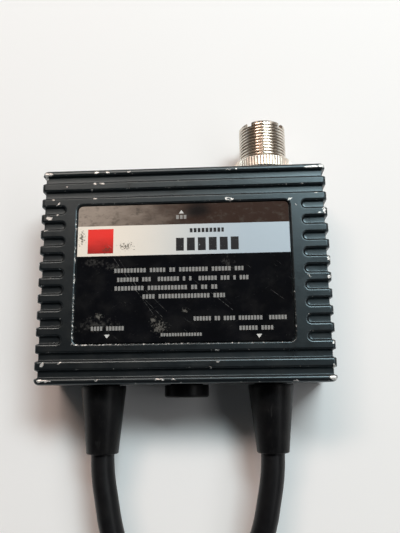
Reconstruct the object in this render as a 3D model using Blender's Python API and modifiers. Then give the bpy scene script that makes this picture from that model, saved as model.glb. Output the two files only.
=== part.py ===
"""RF duplexer: a ribbed die-cast case with one threaded coaxial socket and two plug-ended leads.

Lengths are in metres. The case lies on its back cover with its label up (+Z). The socket points to +Y
and the leads leave to -Y. The origin is the centre of the back cover's outer face.
"""

import math

import bmesh
import bpy
import numpy as np
from mathutils import Matrix, Vector

MM = 0.001
FIT = 0.3 * MM  # clearance between two pieces that touch
OVERCUT = 1.0 * MM  # how far a cutter runs past the face that it opens

# Case
CASE_WIDTH = 91.4 * MM
CASE_LENGTH = 68.7 * MM
CASE_THICKNESS = 26.0 * MM
COVER_THICKNESS = 2.0 * MM
SIDE_WALL = 3.0 * MM
END_WALL = 3.0 * MM
FACE_WALL = 3.0 * MM
EDGE_RADIUS = 1.0 * MM
EDGE_STEPS = 2
CORNER_RADIUS = 1.6 * MM
CAVITY_CORNER_RADIUS = 3.0 * MM

# Ribs: the grooves between them run across the face and down both sides
GROOVE_PITCH = 5.2 * MM
SLOT_ROWS = 9
THROUGH_ROWS = 2
GROOVE_WIDTH = 2.5 * MM
GROOVE_FLOOR = 1.9 * MM
GROOVE_DEPTH = 1.15 * MM
GROOVE_SIDE_DEPTH = 0.9 * MM
FLOOR_BEND_RADIUS = 0.3 * MM
CREST_CHAMFER = 0.3 * MM
SLOT_TO_RECESS = 3.8 * MM

# Label and its recess
RECESS_SIDE_MARGIN = 11.8 * MM
RECESS_END_MARGIN = 12.1 * MM
RECESS_WIDTH = CASE_WIDTH - 2 * RECESS_SIDE_MARGIN
RECESS_LENGTH = CASE_LENGTH - 2 * RECESS_END_MARGIN
RECESS_DEPTH = 1.3 * MM
RECESS_CORNER_RADIUS = 1.8 * MM
RECESS_CHAMFER = 0.45 * MM
LABEL_THICKNESS = 0.4 * MM

# Cover screws and their bosses
SCREW_SHANK_RADIUS = 1.5 * MM
SCREW_LENGTH = 9.0 * MM
SCREW_HEAD_RADIUS = 2.9 * MM
SCREW_HEAD_RECESS = 0.15 * MM
DRIVE_WIDTH = 0.9 * MM
DRIVE_DEPTH = 0.9 * MM
DRIVE_LENGTH = 3.2 * MM
BOSS_RADIUS = 3.5 * MM
BOSS_INSET = 3.0 * MM

# Circuit board on pillars under the face
BOARD_THICKNESS = 1.6 * MM
BOARD_CORNER_RADIUS = 1.0 * MM
BOARD_SIDE_MARGIN = 2.2 * MM
BOARD_END_MARGIN = 4.2 * MM
PILLAR_HEIGHT = 4.0 * MM
PILLAR_RADIUS = 2.8 * MM
PILLAR_INSET_X = 7.0 * MM
PILLAR_INSET_Y = 6.0 * MM
BOARD_SCREW_RADIUS = 1.25 * MM
BOARD_SCREW_HEAD_RADIUS = 2.3 * MM
BOARD_SCREW_HEAD_HEIGHT = 1.7 * MM
BOARD_SCREW_REACH = 3.0 * MM

# Filter parts, hung under the board
COIL_WIRE_RADIUS = 0.6 * MM
COIL_TURN_PITCH = 1.75 * MM
LOW_COIL_RADIUS = 3.6 * MM
LOW_COIL_TURNS = 4
HIGH_COIL_RADIUS = 2.6 * MM
HIGH_COIL_TURNS = 2
COIL_POINTS_PER_TURN = 8
COIL_DROP = 1.2 * MM
LOW_COIL_PLACE_X = -0.21 * CASE_WIDTH
LOW_COIL_SPACING = 10.5 * MM
HIGH_COIL_PLACE_X = 0.105 * CASE_WIDTH
HIGH_COIL_SPACING = 10.5 * MM
DISC_RADIUS = 3.2 * MM
DISC_THICKNESS = 2.2 * MM
DISC_DROP = 1.6 * MM
DISC_LEG_RADIUS = 0.35 * MM
DISC_LEG_SPREAD = 1.9 * MM
LOW_DISC_PLACE_X = -0.077 * CASE_WIDTH
HIGH_DISC_PLACE_X = 0.22 * CASE_WIDTH
DISC_SPACING = 10.5 * MM

# Threaded socket
SOCKET_TO_SIDE = 18.75 * MM
SOCKET_PLACE_X = CASE_WIDTH / 2 - SOCKET_TO_SIDE
SOCKET_RADIUS = 15.875 / 2 * MM
SOCKET_REACH = 18.4 * MM
SOCKET_FLANGE_RIM = 1.2 * MM
SOCKET_FLANGE_THICKNESS = 2.5 * MM
SOCKET_BORE_RADIUS = 6.4 * MM
SOCKET_BORE_DEPTH = 14.5 * MM
SOCKET_REAR_BORE_RADIUS = 4.0 * MM
SOCKET_RIM_CHAMFER = 0.5 * MM
NOTCH_WIDTH = 2.4 * MM
NOTCH_DEPTH = 1.6 * MM
NOTCH_TURN = math.radians(38)
INSULATOR_FACE_DEPTH = 9.0 * MM
CONTACT_RADIUS = 2.65 * MM
CONTACT_BORE_RADIUS = 2.0 * MM
CONTACT_BORE_DEPTH = 9.5 * MM
CONTACT_RECESS = 1.2 * MM
CONTACT_SLOT_WIDTH = 0.5 * MM
CONTACT_SLOT_DEPTH = 7.0 * MM
CONTACT_HEAD_LENGTH = 11.0 * MM
STEM_RADIUS = 1.5 * MM
STEM_REACH = 9.0 * MM
LINK_RADIUS = 0.7 * MM
LINK_REACH = 6.0 * MM

# Ring nut and gasket on the socket
GASKET_RADIUS = 9.5 * MM
GASKET_THICKNESS = 1.5 * MM
RING_RADIUS = 9.9 * MM
RING_THICKNESS = 3.1 * MM
RING_TEETH = 60
RING_TOOTH_DEPTH = 0.35 * MM
RING_CHAMFER = 0.4 * MM

# Cable boots and the blank plug
LEAD_TO_SIDE = 18.9 * MM
LEAD_PLACE_X = CASE_WIDTH / 2 - LEAD_TO_SIDE
WALL_HOLE_RADIUS = 5.5 * MM
BOOT_SHOULDER_RADIUS = 7.1 * MM
BOOT_TIP_RADIUS = 5.0 * MM
BOOT_LENGTH = 20.9 * MM
BOOT_TIP_CHAMFER = 0.6 * MM
COLLAR_RADIUS = 7.2 * MM
COLLAR_THICKNESS = 2.0 * MM
BLANK_LENGTH = 3.9 * MM
BLANK_CHAMFER = 0.9 * MM

# Leads
CABLE_RADIUS = 3.7 * MM
CABLE_POINT_SPACING = 16.0 * MM
CABLE_END_STRAIGHT = 3.0 * MM
CABLE_STRAIGHT_AT_BOOT = 1.5 * MM
CABLE_STRAIGHT_AT_PLUG = 6.0 * MM
CORE_RADIUS = 2.4 * MM
CORE_LENGTH = 7.0 * MM
CONDUCTOR_RADIUS = 0.7 * MM
CONDUCTOR_REACH = 3.5 * MM
BRAID_RADIUS = 0.9 * MM
BRAID_OFFSET = 5.0 * MM
BRAID_REACH = 5.0 * MM

# Plugs on the leads' ends
PLUG_PLACE_X = 23.5 * MM
PLUG_PLACE_Y = -268.0 * MM
PLUG_REAR_RADIUS = 5.3 * MM
PLUG_NECK_RADIUS = 6.0 * MM
PLUG_COLLAR_RADIUS = 7.5 * MM
PLUG_COLLAR_LENGTH = 3.6 * MM
PLUG_BODY_LENGTH = 27.5 * MM
PLUG_STEP_PLACE = 5.0 * MM
PLUG_BORE_RADIUS = 5.0 * MM
PLUG_BORE_DEPTH = 7.5 * MM
PLUG_CHAMFER = 0.5 * MM
PIN_RADIUS = 1.98 * MM
PIN_REACH = 15.5 * MM
PIN_SEAT_DEPTH = 10.0 * MM
COUPLING_RADIUS = 9.1 * MM
COUPLING_BORE_RADIUS = 8.25 * MM
COUPLING_LIP = 3.2 * MM
COUPLING_REACH = 12.0 * MM
COUPLING_TEETH = 32
COUPLING_TOOTH_DEPTH = 0.35 * MM
COUPLING_CHAMFER = 0.6 * MM

# Places that follow from the sizes above
HALF_WIDTH = CASE_WIDTH / 2
HALF_LENGTH = CASE_LENGTH / 2
CASTING_BASE = COVER_THICKNESS + FIT
CAVITY_X = HALF_WIDTH - SIDE_WALL
CAVITY_Y = HALF_LENGTH - END_WALL
CAVITY_TOP = CASE_THICKNESS - FACE_WALL
PORT_HEIGHT = (COVER_THICKNESS + CAVITY_TOP) / 2
BOSS_X = CAVITY_X - BOSS_INSET
BOSS_Y = CAVITY_Y - BOSS_INSET
BOARD_X = CAVITY_X - BOARD_SIDE_MARGIN
BOARD_Y = CAVITY_Y - BOARD_END_MARGIN
BOARD_TOP = CAVITY_TOP - PILLAR_HEIGHT - FIT
BOARD_BASE = BOARD_TOP - BOARD_THICKNESS
PILLAR_X = BOARD_X - PILLAR_INSET_X
PILLAR_Y = BOARD_Y - PILLAR_INSET_Y
SLOT_END = RECESS_WIDTH / 2 + SLOT_TO_RECESS
PLUG_HEIGHT = COUPLING_RADIUS
CORNERS = [(-1, -1), (1, -1), (1, 1), (-1, 1)]
SIDES = {"left": -1, "right": 1}

# Directions for turned pieces, whose own axis is +Z
TO_SOCKET = (-math.pi / 2, 0, 0)
TO_LEADS = (math.pi / 2, 0, 0)

# Looks: colour, roughness, metallic
BLACK_PAINT = ((0.018, 0.019, 0.021), 0.42, 0.0)
NICKEL = ((0.66, 0.64, 0.60), 0.22, 1.0)
BRASS = ((0.72, 0.53, 0.25), 0.3, 1.0)
STEEL = ((0.50, 0.50, 0.50), 0.35, 1.0)
COPPER = ((0.72, 0.36, 0.20), 0.3, 1.0)
RUBBER = ((0.014, 0.014, 0.015), 0.6, 0.0)
LABEL_FILM = ((0.010, 0.010, 0.012), 0.12, 0.0)
WHITE_PLASTIC = ((0.80, 0.79, 0.74), 0.45, 0.0)
BOARD_GREEN = ((0.05, 0.20, 0.09), 0.4, 0.0)
CERAMIC_BLUE = ((0.05, 0.17, 0.42), 0.35, 0.0)


def clear_scene():
    for obj in list(bpy.data.objects):
        bpy.data.objects.remove(obj)


def new_collection(name):
    group = bpy.data.collections.new(name)
    bpy.context.scene.collection.children.link(group)
    return group


def finish(obj, look):
    """Puts a piece in the model's collection with a material of its own."""
    colour, roughness, metallic = look
    surface = bpy.data.materials.new(obj.name)
    surface.use_nodes = True
    shader = surface.node_tree.nodes["Principled BSDF"]
    shader.inputs["Base Color"].default_value = (*colour, 1)
    shader.inputs["Roughness"].default_value = roughness
    shader.inputs["Metallic"].default_value = metallic
    obj.data.materials.clear()
    obj.data.materials.append(surface)
    PARTS.objects.link(obj)
    return obj


def object_from(name, mesh):
    mesh.name = name
    return bpy.data.objects.new(name, mesh)


def mesh_from(build):
    """Runs a bmesh recipe and returns its mesh."""
    mesh = bpy.data.meshes.new("mesh")
    work = bmesh.new()
    build(work)
    work.to_mesh(mesh)
    work.free()
    return mesh


def box_mesh(size, centre=(0, 0, 0)):
    place = Matrix.Translation(centre) @ Matrix.Diagonal((*size, 1))
    return mesh_from(lambda work: bmesh.ops.create_cube(work, size=1, matrix=place))


def rods_mesh(places, radius, base, top, sides):
    """Upright cylinders of one size at several places."""

    def build(work):
        for x, y in places:
            bmesh.ops.create_cone(
                work,
                cap_ends=True,
                segments=sides,
                radius1=radius,
                radius2=radius,
                depth=top - base,
                matrix=Matrix.Translation((x, y, (base + top) / 2)),
            )

    return mesh_from(build)


def smooth_round(mesh, angle=35):
    mesh.shade_smooth()
    mesh.set_sharp_from_angle(angle=math.radians(angle))
    return mesh


def evaluated_mesh(obj):
    """The object's mesh with its modifiers or curve settings applied, caps welded."""
    bpy.context.view_layer.update()
    graph = bpy.context.evaluated_depsgraph_get()
    mesh = bpy.data.meshes.new_from_object(obj.evaluated_get(graph))
    work = bmesh.new()
    work.from_mesh(mesh)
    bmesh.ops.remove_doubles(work, verts=work.verts, dist=0.001 * MM)
    work.to_mesh(mesh)
    work.free()
    return mesh


def baked(obj):
    """Turns a curve or a modified object into a plain mesh object in the same place."""
    name = obj.name
    SCRATCH.objects.link(obj)
    mesh = evaluated_mesh(obj)
    mesh.transform(obj.matrix_world)
    bpy.data.objects.remove(obj)
    return object_from(name, mesh)


def turned(name, profile, steps, turn=(0, 0, 0), place=(0, 0, 0)):
    """A turned piece from (radius, height) points, listed down the outer side from the top."""
    mesh = bpy.data.meshes.new(name)
    points = [(radius, 0, height) for radius, height in profile]
    loop = [(i, (i + 1) % len(points)) for i in range(len(points))]
    off_axis = [(i, j) for i, j in loop if profile[i][0] > 0 or profile[j][0] > 0]
    mesh.from_pydata(points, off_axis, [])
    blank = bpy.data.objects.new(name + "_profile", mesh)
    screw = blank.modifiers.new("Turn", "SCREW")
    screw.steps = steps
    screw.render_steps = steps
    screw.use_merge_vertices = True
    screw.merge_threshold = 0.01 * MM
    result = baked(blank)
    result.name = name
    smooth_round(result.data)
    result.rotation_euler = turn
    result.location = place
    return result


def flat_curve(name, loops, thickness):
    """A filled 2D outline with thickness, centred on its own plane."""
    curve = bpy.data.curves.new(name, "CURVE")
    curve.dimensions = "2D"
    curve.fill_mode = "BOTH"
    curve.extrude = thickness / 2
    for points in loops:
        spline = curve.splines.new("POLY")
        spline.points.add(len(points) - 1)
        for target, (x, y) in zip(spline.points, points):
            target.co = (x, y, 0, 1)
        spline.use_cyclic_u = True
    return bpy.data.objects.new(name, curve)


def flat_piece(name, loops, base, thickness):
    """A flat piece of the given outline, lying level with its lower face at the given height."""
    obj = flat_curve(name, loops, thickness)
    obj.location = (0, 0, base + thickness / 2)
    return baked(obj)


def rounded_outline(half_x, half_y, radius, arc_steps=4):
    """A rectangle's outline with round corners, anticlockwise."""
    points = []
    for quarter, (sx, sy) in enumerate([(1, 1), (-1, 1), (-1, -1), (1, -1)]):
        for step in range(arc_steps + 1):
            angle = (quarter + step / arc_steps) * math.pi / 2
            x = sx * (half_x - radius) + radius * math.cos(angle)
            y = sy * (half_y - radius) + radius * math.sin(angle)
            points.append((x, y))
    return points


def wire(name, points, radius, resolution=2):
    """A round wire, cable or rod through the given points."""
    curve = bpy.data.curves.new(name, "CURVE")
    curve.dimensions = "3D"
    curve.bevel_depth = radius
    curve.bevel_resolution = resolution
    curve.use_fill_caps = True
    spline = curve.splines.new("POLY")
    spline.points.add(len(points) - 1)
    for target, point in zip(spline.points, points):
        target.co = (*point, 1)
    return bpy.data.objects.new(name, curve)


def boolean(obj, other, operation):
    """Joins or cuts a piece with another mesh, which stays in the cutters' collection."""
    if other.name not in CUTTERS.objects:
        CUTTERS.objects.link(other)
    other.hide_render = True
    other.display_type = "WIRE"
    step = obj.modifiers.new(other.name, "BOOLEAN")
    step.operation = operation
    step.solver = "EXACT"
    step.object = other


def cut(obj, other):
    boolean(obj, other, "DIFFERENCE")


def join(obj, other):
    boolean(obj, other, "UNION")


def cutter(name, mesh):
    return object_from(name, mesh)


def bevel_edges(mesh, radius, segments, wanted):
    """Rounds the edges for which wanted(edge) holds."""
    work = bmesh.new()
    work.from_mesh(mesh)
    edges = [edge for edge in work.edges if wanted(edge)]
    bmesh.ops.bevel(work, geom=edges, offset=radius, segments=segments, profile=0.5, affect="EDGES")
    work.to_mesh(mesh)
    work.free()
    return mesh


def upright(edge):
    a, b = (vert.co for vert in edge.verts)
    return abs(a.z - b.z) > max(abs(a.x - b.x), abs(a.y - b.y))


def on_face(edge):
    return all(vert.co.z > CASE_THICKNESS - FIT for vert in edge.verts)


def groove_path(reach, end_x):
    """Half of a groove's way round the case's section: along the face, over the edge and down the side."""
    bend = GROOVE_DEPTH + FLOOR_BEND_RADIUS
    side = HALF_WIDTH + GROOVE_DEPTH - GROOVE_SIDE_DEPTH
    arc = [
        (side - bend + bend * math.sin(a), CASE_THICKNESS - bend + bend * math.cos(a))
        for a in (math.pi / 2 * i / EDGE_STEPS for i in range(EDGE_STEPS + 1))
    ]
    return [(end_x, CASE_THICKNESS)] + arc + [(side, reach)]


def groove_section():
    """The groove's cross-section as (depth, width) points: flared crest edges, drafted walls, flat floor."""
    flare = GROOVE_WIDTH / 2 + CREST_CHAMFER + OVERCUT
    half = [
        (OVERCUT, flare),
        (-CREST_CHAMFER, GROOVE_WIDTH / 2),
        (-GROOVE_DEPTH, GROOVE_FLOOR / 2),
    ]
    return half + [(depth, -width) for depth, width in reversed(half)]


def swept_groove(path):
    """The groove's section carried along a path in the XZ plane."""
    section = bpy.data.curves.new("groove_section", "CURVE")
    section.dimensions = "2D"
    spline = section.splines.new("POLY")
    points = groove_section()
    spline.points.add(len(points) - 1)
    for target, (depth, width) in zip(spline.points, points):
        target.co = (-depth, width, 0, 1)
    spline.use_cyclic_u = True
    section_obj = bpy.data.objects.new("groove_section", section)
    SCRATCH.objects.link(section_obj)
    curve = bpy.data.curves.new("groove", "CURVE")
    curve.dimensions = "2D"
    curve.fill_mode = "NONE"
    curve.bevel_mode = "OBJECT"
    curve.bevel_object = section_obj
    curve.use_fill_caps = True
    spline = curve.splines.new("POLY")
    spline.points.add(len(path) - 1)
    for target, (x, z) in zip(spline.points, path):
        target.co = (x, z, 0, 1)
    groove = baked(bpy.data.objects.new("groove", curve))
    bpy.data.objects.remove(section_obj)
    groove.data.transform(Matrix.Rotation(math.pi / 2, 4, "X"))
    groove.data.shade_flat()
    return groove.data


def slot_end():
    """The round inner end of a slot, cut by the groove's section turned about an upright axis."""
    flare = GROOVE_WIDTH / 2 + CREST_CHAMFER + OVERCUT
    profile = [
        (0, OVERCUT),
        (flare, OVERCUT),
        (GROOVE_WIDTH / 2, -CREST_CHAMFER),
        (GROOVE_FLOOR / 2, -GROOVE_DEPTH),
        (0, -GROOVE_DEPTH),
    ]
    end = turned("slot_end", profile, 10).data
    end.shade_flat()
    return end


def placed_copies(name, mesh, matrices):
    """One cutter made of copies of a mesh that don't touch each other."""

    def build(work):
        for matrix in matrices:
            start = len(work.verts)
            work.from_mesh(mesh)
            work.verts.ensure_lookup_table()
            bmesh.ops.transform(work, matrix=matrix, verts=work.verts[start:])
            if matrix.determinant() < 0:
                work.faces.ensure_lookup_table()
                fresh = [face for face in work.faces if face.verts[0] in set(work.verts[start:])]
                bmesh.ops.reverse_faces(work, faces=fresh)

    return cutter(name, mesh_from(build))


def make_housing():
    """The casting: a rounded tub, ribbed outside, with bosses and pillars inside."""
    height = CASE_THICKNESS - CASTING_BASE
    middle = (CASE_THICKNESS + CASTING_BASE) / 2
    mesh = box_mesh((CASE_WIDTH, CASE_LENGTH, height), (0, 0, middle))
    bevel_edges(mesh, CORNER_RADIUS, EDGE_STEPS, upright)
    bevel_edges(mesh, EDGE_RADIUS, EDGE_STEPS, on_face)
    housing = object_from("housing", mesh)

    base = CASTING_BASE - OVERCUT
    cavity = box_mesh((2 * CAVITY_X, 2 * CAVITY_Y, CAVITY_TOP - base), (0, 0, (CAVITY_TOP + base) / 2))
    bevel_edges(cavity, CAVITY_CORNER_RADIUS, EDGE_STEPS, upright)
    cut(housing, cutter("cavity", cavity))

    bosses = [(sx * BOSS_X, sy * BOSS_Y) for sx, sy in CORNERS]
    pillars = [(sx * PILLAR_X, sy * PILLAR_Y) for sx, sy in CORNERS]
    root = CAVITY_TOP + FACE_WALL / 4
    join(housing, cutter("bosses", rods_mesh(bosses, BOSS_RADIUS, CASTING_BASE, root, 12)))
    pillar_base = CAVITY_TOP - PILLAR_HEIGHT
    join(housing, cutter("pillars", rods_mesh(pillars, PILLAR_RADIUS, pillar_base, root, 12)))
    screw_top = SCREW_HEAD_RECESS + SCREW_LENGTH + 2 * FIT
    cut(housing, cutter("screw_holes", rods_mesh(bosses, SCREW_SHANK_RADIUS + FIT, base, screw_top, 10)))
    hole_top = pillar_base + BOARD_SCREW_REACH + FIT
    pillar_holes = rods_mesh(pillars, BOARD_SCREW_RADIUS + FIT, pillar_base - OVERCUT, hole_top, 8)
    cut(housing, cutter("pillar_holes", pillar_holes))

    reach = base
    across = groove_path(reach, 0)[1:]
    across = [(-x, z) for x, z in reversed(across)] + across
    through = swept_groove(across)
    first = SLOT_ROWS // 2 + 1
    rows = range(first, first + THROUGH_ROWS)
    moves = [Matrix.Translation((0, side * row * GROOVE_PITCH, 0)) for row in rows for side in (-1, 1)]
    cut(housing, placed_copies("through_grooves", through, moves))

    inner = SLOT_END + GROOVE_WIDTH / 2
    slot = swept_groove(groove_path(reach, inner))
    mirror = Matrix.Diagonal((-1, 1, 1, 1))
    rows = range(-(SLOT_ROWS // 2), SLOT_ROWS // 2 + 1)
    moves = [Matrix.Translation((0, row * GROOVE_PITCH, 0)) for row in rows]
    cut(housing, placed_copies("right_slots", slot, moves))
    cut(housing, placed_copies("left_slots", slot, [move @ mirror for move in moves]))
    for side in SIDES.values():
        ends = [Matrix.Translation((side * inner, row * GROOVE_PITCH, CASE_THICKNESS)) for row in rows]
        cut(housing, placed_copies("slot_ends", slot_end(), ends))

    cut(housing, label_recess())
    hole_length = END_WALL + 2 * OVERCUT
    for place in (-LEAD_PLACE_X, 0, LEAD_PLACE_X):
        cut(housing, wall_hole("cable_hole", place, -1, WALL_HOLE_RADIUS, hole_length))
    cut(housing, wall_hole("socket_hole", SOCKET_PLACE_X, 1, SOCKET_RADIUS + FIT, hole_length))
    return finish(housing, BLACK_PAINT)


def label_recess():
    """A rounded rectangle sunk into the face, with a chamfered rim."""
    levels = [
        (CASE_THICKNESS - RECESS_DEPTH, 0),
        (CASE_THICKNESS - RECESS_CHAMFER, 0),
        (CASE_THICKNESS + OVERCUT, RECESS_CHAMFER + OVERCUT),
    ]

    def build(work):
        rings = []
        for height, spread in levels:
            outline = rounded_outline(
                RECESS_WIDTH / 2 + spread, RECESS_LENGTH / 2 + spread, RECESS_CORNER_RADIUS + spread
            )
            rings.append([work.verts.new((x, y, height)) for x, y in outline])
        count = len(rings[0])
        for lower, upper in zip(rings, rings[1:]):
            for i in range(count):
                j = (i + 1) % count
                work.faces.new((lower[i], lower[j], upper[j], upper[i]))
        work.faces.new(list(reversed(rings[0])))
        work.faces.new(rings[-1])

    return cutter("label_recess", mesh_from(build))


def wall_hole(name, place_x, end, radius, length):
    """A round cutter through an end wall at the height of the ports."""
    mesh = rods_mesh([(0, 0)], radius, -length / 2, length / 2, 20)
    hole = cutter(name, mesh)
    hole.rotation_euler = TO_LEADS
    hole.location = (place_x, end * (HALF_LENGTH - END_WALL / 2), PORT_HEIGHT)
    return hole


def make_cover():
    """Flat back plate with countersunk corner holes."""
    outline = rounded_outline(HALF_WIDTH - GROOVE_SIDE_DEPTH, HALF_LENGTH, CORNER_RADIUS)
    cover = flat_piece("back_cover", [outline], 0, COVER_THICKNESS)
    wide = SCREW_HEAD_RADIUS + 1.5 * FIT
    narrow = SCREW_SHANK_RADIUS + FIT
    sink = wide - narrow
    for index, (sx, sy) in enumerate(CORNERS):
        profile = [
            (0, COVER_THICKNESS + OVERCUT),
            (narrow, COVER_THICKNESS + OVERCUT),
            (narrow, SCREW_HEAD_RECESS + sink),
            (wide, SCREW_HEAD_RECESS),
            (wide, -OVERCUT),
            (0, -OVERCUT),
        ]
        hole = turned("countersink_%d" % (index + 1), profile, 10, place=(sx * BOSS_X, sy * BOSS_Y, 0))
        cut(cover, hole)
    return finish(cover, BLACK_PAINT)


def make_cover_screws():
    """Countersunk screws with a cross recess, pointing up into the bosses."""
    sink = SCREW_HEAD_RADIUS - SCREW_SHANK_RADIUS
    base = SCREW_HEAD_RECESS
    profile = [
        (0, base + SCREW_LENGTH),
        (SCREW_SHANK_RADIUS - FIT, base + SCREW_LENGTH),
        (SCREW_SHANK_RADIUS, base + SCREW_LENGTH - FIT),
        (SCREW_SHANK_RADIUS, base + sink + FIT / 2),
        (SCREW_HEAD_RADIUS, base + FIT / 2),
        (SCREW_HEAD_RADIUS, base),
        (0, base),
    ]
    for index, (sx, sy) in enumerate(CORNERS):
        screw = turned("cover_screw_%d" % (index + 1), profile, 12, place=(sx * BOSS_X, sy * BOSS_Y, 0))
        depth = base + DRIVE_DEPTH + OVERCUT
        for turn in (0, math.pi / 2):
            bar = box_mesh((DRIVE_LENGTH, DRIVE_WIDTH, depth), (0, 0, base + DRIVE_DEPTH - depth / 2))
            drive = cutter("screw_drive", bar)
            drive.rotation_euler = (0, 0, turn + math.radians(20 * index))
            drive.location = (sx * BOSS_X, sy * BOSS_Y, 0)
            cut(screw, drive)
        finish(screw, STEEL)


def make_label():
    outline = rounded_outline(RECESS_WIDTH / 2 - FIT, RECESS_LENGTH / 2 - FIT, RECESS_CORNER_RADIUS - FIT)
    base = CASE_THICKNESS - RECESS_DEPTH + FIT
    return finish(flat_piece("label_plate", [outline], base, LABEL_THICKNESS), LABEL_FILM)


def make_socket():
    """Threaded barrel, insulator, contact, ring nut and gasket on one axis through the end wall."""
    place = (SOCKET_PLACE_X, HALF_LENGTH, PORT_HEIGHT)
    rim = SOCKET_REACH
    flange_face = -(END_WALL + FIT)
    flange_back = flange_face - SOCKET_FLANGE_THICKNESS
    flange_radius = SOCKET_RADIUS + SOCKET_FLANGE_RIM
    shelf = rim - SOCKET_BORE_DEPTH
    body = turned(
        "socket_body",
        [
            (SOCKET_RADIUS - SOCKET_RIM_CHAMFER, rim),
            (SOCKET_RADIUS, rim - SOCKET_RIM_CHAMFER),
            (SOCKET_RADIUS, flange_face),
            (flange_radius, flange_face),
            (flange_radius, flange_back),
            (SOCKET_REAR_BORE_RADIUS, flange_back),
            (SOCKET_REAR_BORE_RADIUS, shelf),
            (SOCKET_BORE_RADIUS, shelf),
            (SOCKET_BORE_RADIUS, rim - SOCKET_RIM_CHAMFER),
            (SOCKET_BORE_RADIUS + SOCKET_RIM_CHAMFER / 2, rim),
        ],
        28,
        TO_SOCKET,
        place,
    )
    for index in range(2):
        size = (3 * SOCKET_RADIUS, NOTCH_WIDTH, 2 * NOTCH_DEPTH)
        notch = cutter("mouth_notch", box_mesh(size))
        notch.rotation_euler = (0, -NOTCH_TURN + index * math.pi / 2, 0)
        notch.data.transform(Matrix.Rotation(math.pi / 2, 4, "X"))
        notch.location = (SOCKET_PLACE_X, HALF_LENGTH + rim, PORT_HEIGHT)
        cut(body, notch)
    finish(body, NICKEL)

    face = rim - INSULATOR_FACE_DEPTH
    head_base = rim - CONTACT_RECESS - CONTACT_HEAD_LENGTH
    seat = shelf + FIT
    insulator = turned(
        "socket_insulator",
        [
            (SOCKET_BORE_RADIUS - FIT, face),
            (SOCKET_BORE_RADIUS - FIT, seat),
            (SOCKET_REAR_BORE_RADIUS - FIT, seat),
            (SOCKET_REAR_BORE_RADIUS - FIT, flange_back),
            (STEM_RADIUS + FIT, flange_back),
            (STEM_RADIUS + FIT, head_base - FIT),
            (CONTACT_RADIUS + FIT, head_base - FIT),
            (CONTACT_RADIUS + FIT, face),
        ],
        16,
        TO_SOCKET,
        place,
    )
    finish(insulator, WHITE_PLASTIC)

    tip = rim - CONTACT_RECESS
    stem_end = flange_back - STEM_REACH
    contact = turned(
        "socket_contact",
        [
            (CONTACT_RADIUS - FIT, tip),
            (CONTACT_RADIUS, tip - FIT),
            (CONTACT_RADIUS, head_base),
            (STEM_RADIUS, head_base),
            (STEM_RADIUS, stem_end),
            (0, stem_end),
            (0, tip - CONTACT_BORE_DEPTH),
            (CONTACT_BORE_RADIUS, tip - CONTACT_BORE_DEPTH),
            (CONTACT_BORE_RADIUS, tip),
        ],
        16,
        TO_SOCKET,
        place,
    )
    for index in range(2):
        size = (3 * CONTACT_RADIUS, CONTACT_SLOT_WIDTH, 2 * CONTACT_SLOT_DEPTH)
        slot = cutter("contact_slot", box_mesh(size))
        slot.data.transform(Matrix.Rotation(math.pi / 2, 4, "X"))
        slot.rotation_euler = (0, math.pi / 4 + index * math.pi / 2, 0)
        slot.location = (SOCKET_PLACE_X, HALF_LENGTH + tip, PORT_HEIGHT)
        cut(contact, slot)
    finish(contact, BRASS)

    gasket_top = FIT + GASKET_THICKNESS
    bore = SOCKET_RADIUS + FIT
    profile = [(GASKET_RADIUS, gasket_top), (GASKET_RADIUS, FIT), (bore, FIT), (bore, gasket_top)]
    finish(turned("socket_gasket", profile, 24, TO_SOCKET, place), RUBBER)

    ring = knurled_ring(
        "socket_ring_nut", RING_RADIUS, RING_TOOTH_DEPTH, RING_TEETH, RING_THICKNESS, RING_CHAMFER, bore
    )
    ring.rotation_euler = TO_SOCKET
    ring.location = (SOCKET_PLACE_X, HALF_LENGTH + gasket_top + FIT, PORT_HEIGHT)
    finish(ring, NICKEL)


def knurled_ring(name, radius, tooth, teeth, length, chamfer, bore):
    """A ring with straight teeth round it, chamfered at its upper end, standing on its own origin."""
    inner = (radius - chamfer) / radius

    def build(work):
        corners = []
        for index in range(2 * teeth):
            angle = math.pi * index / teeth
            reach = radius if index % 2 == 0 else radius - tooth
            corners.append(work.verts.new((reach * math.cos(angle), reach * math.sin(angle), 0)))
        face = work.faces.new(corners)
        face.normal_flip()
        face = face.copy()
        face.normal_flip()
        for rise, spread in ((length - chamfer, 1), (chamfer, inner)):
            face = bmesh.ops.extrude_discrete_faces(work, faces=[face])["faces"][0]
            bmesh.ops.translate(work, vec=(0, 0, rise), verts=face.verts)
            bmesh.ops.scale(work, vec=(spread, spread, 1), verts=face.verts)
        bmesh.ops.remove_doubles(work, verts=work.verts, dist=0.001 * MM)

    ring = object_from(name, mesh_from(build))
    cut(ring, cutter(name + "_bore", rods_mesh([(0, 0)], bore, -OVERCUT, length + OVERCUT, 24)))
    return baked(ring)


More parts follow.
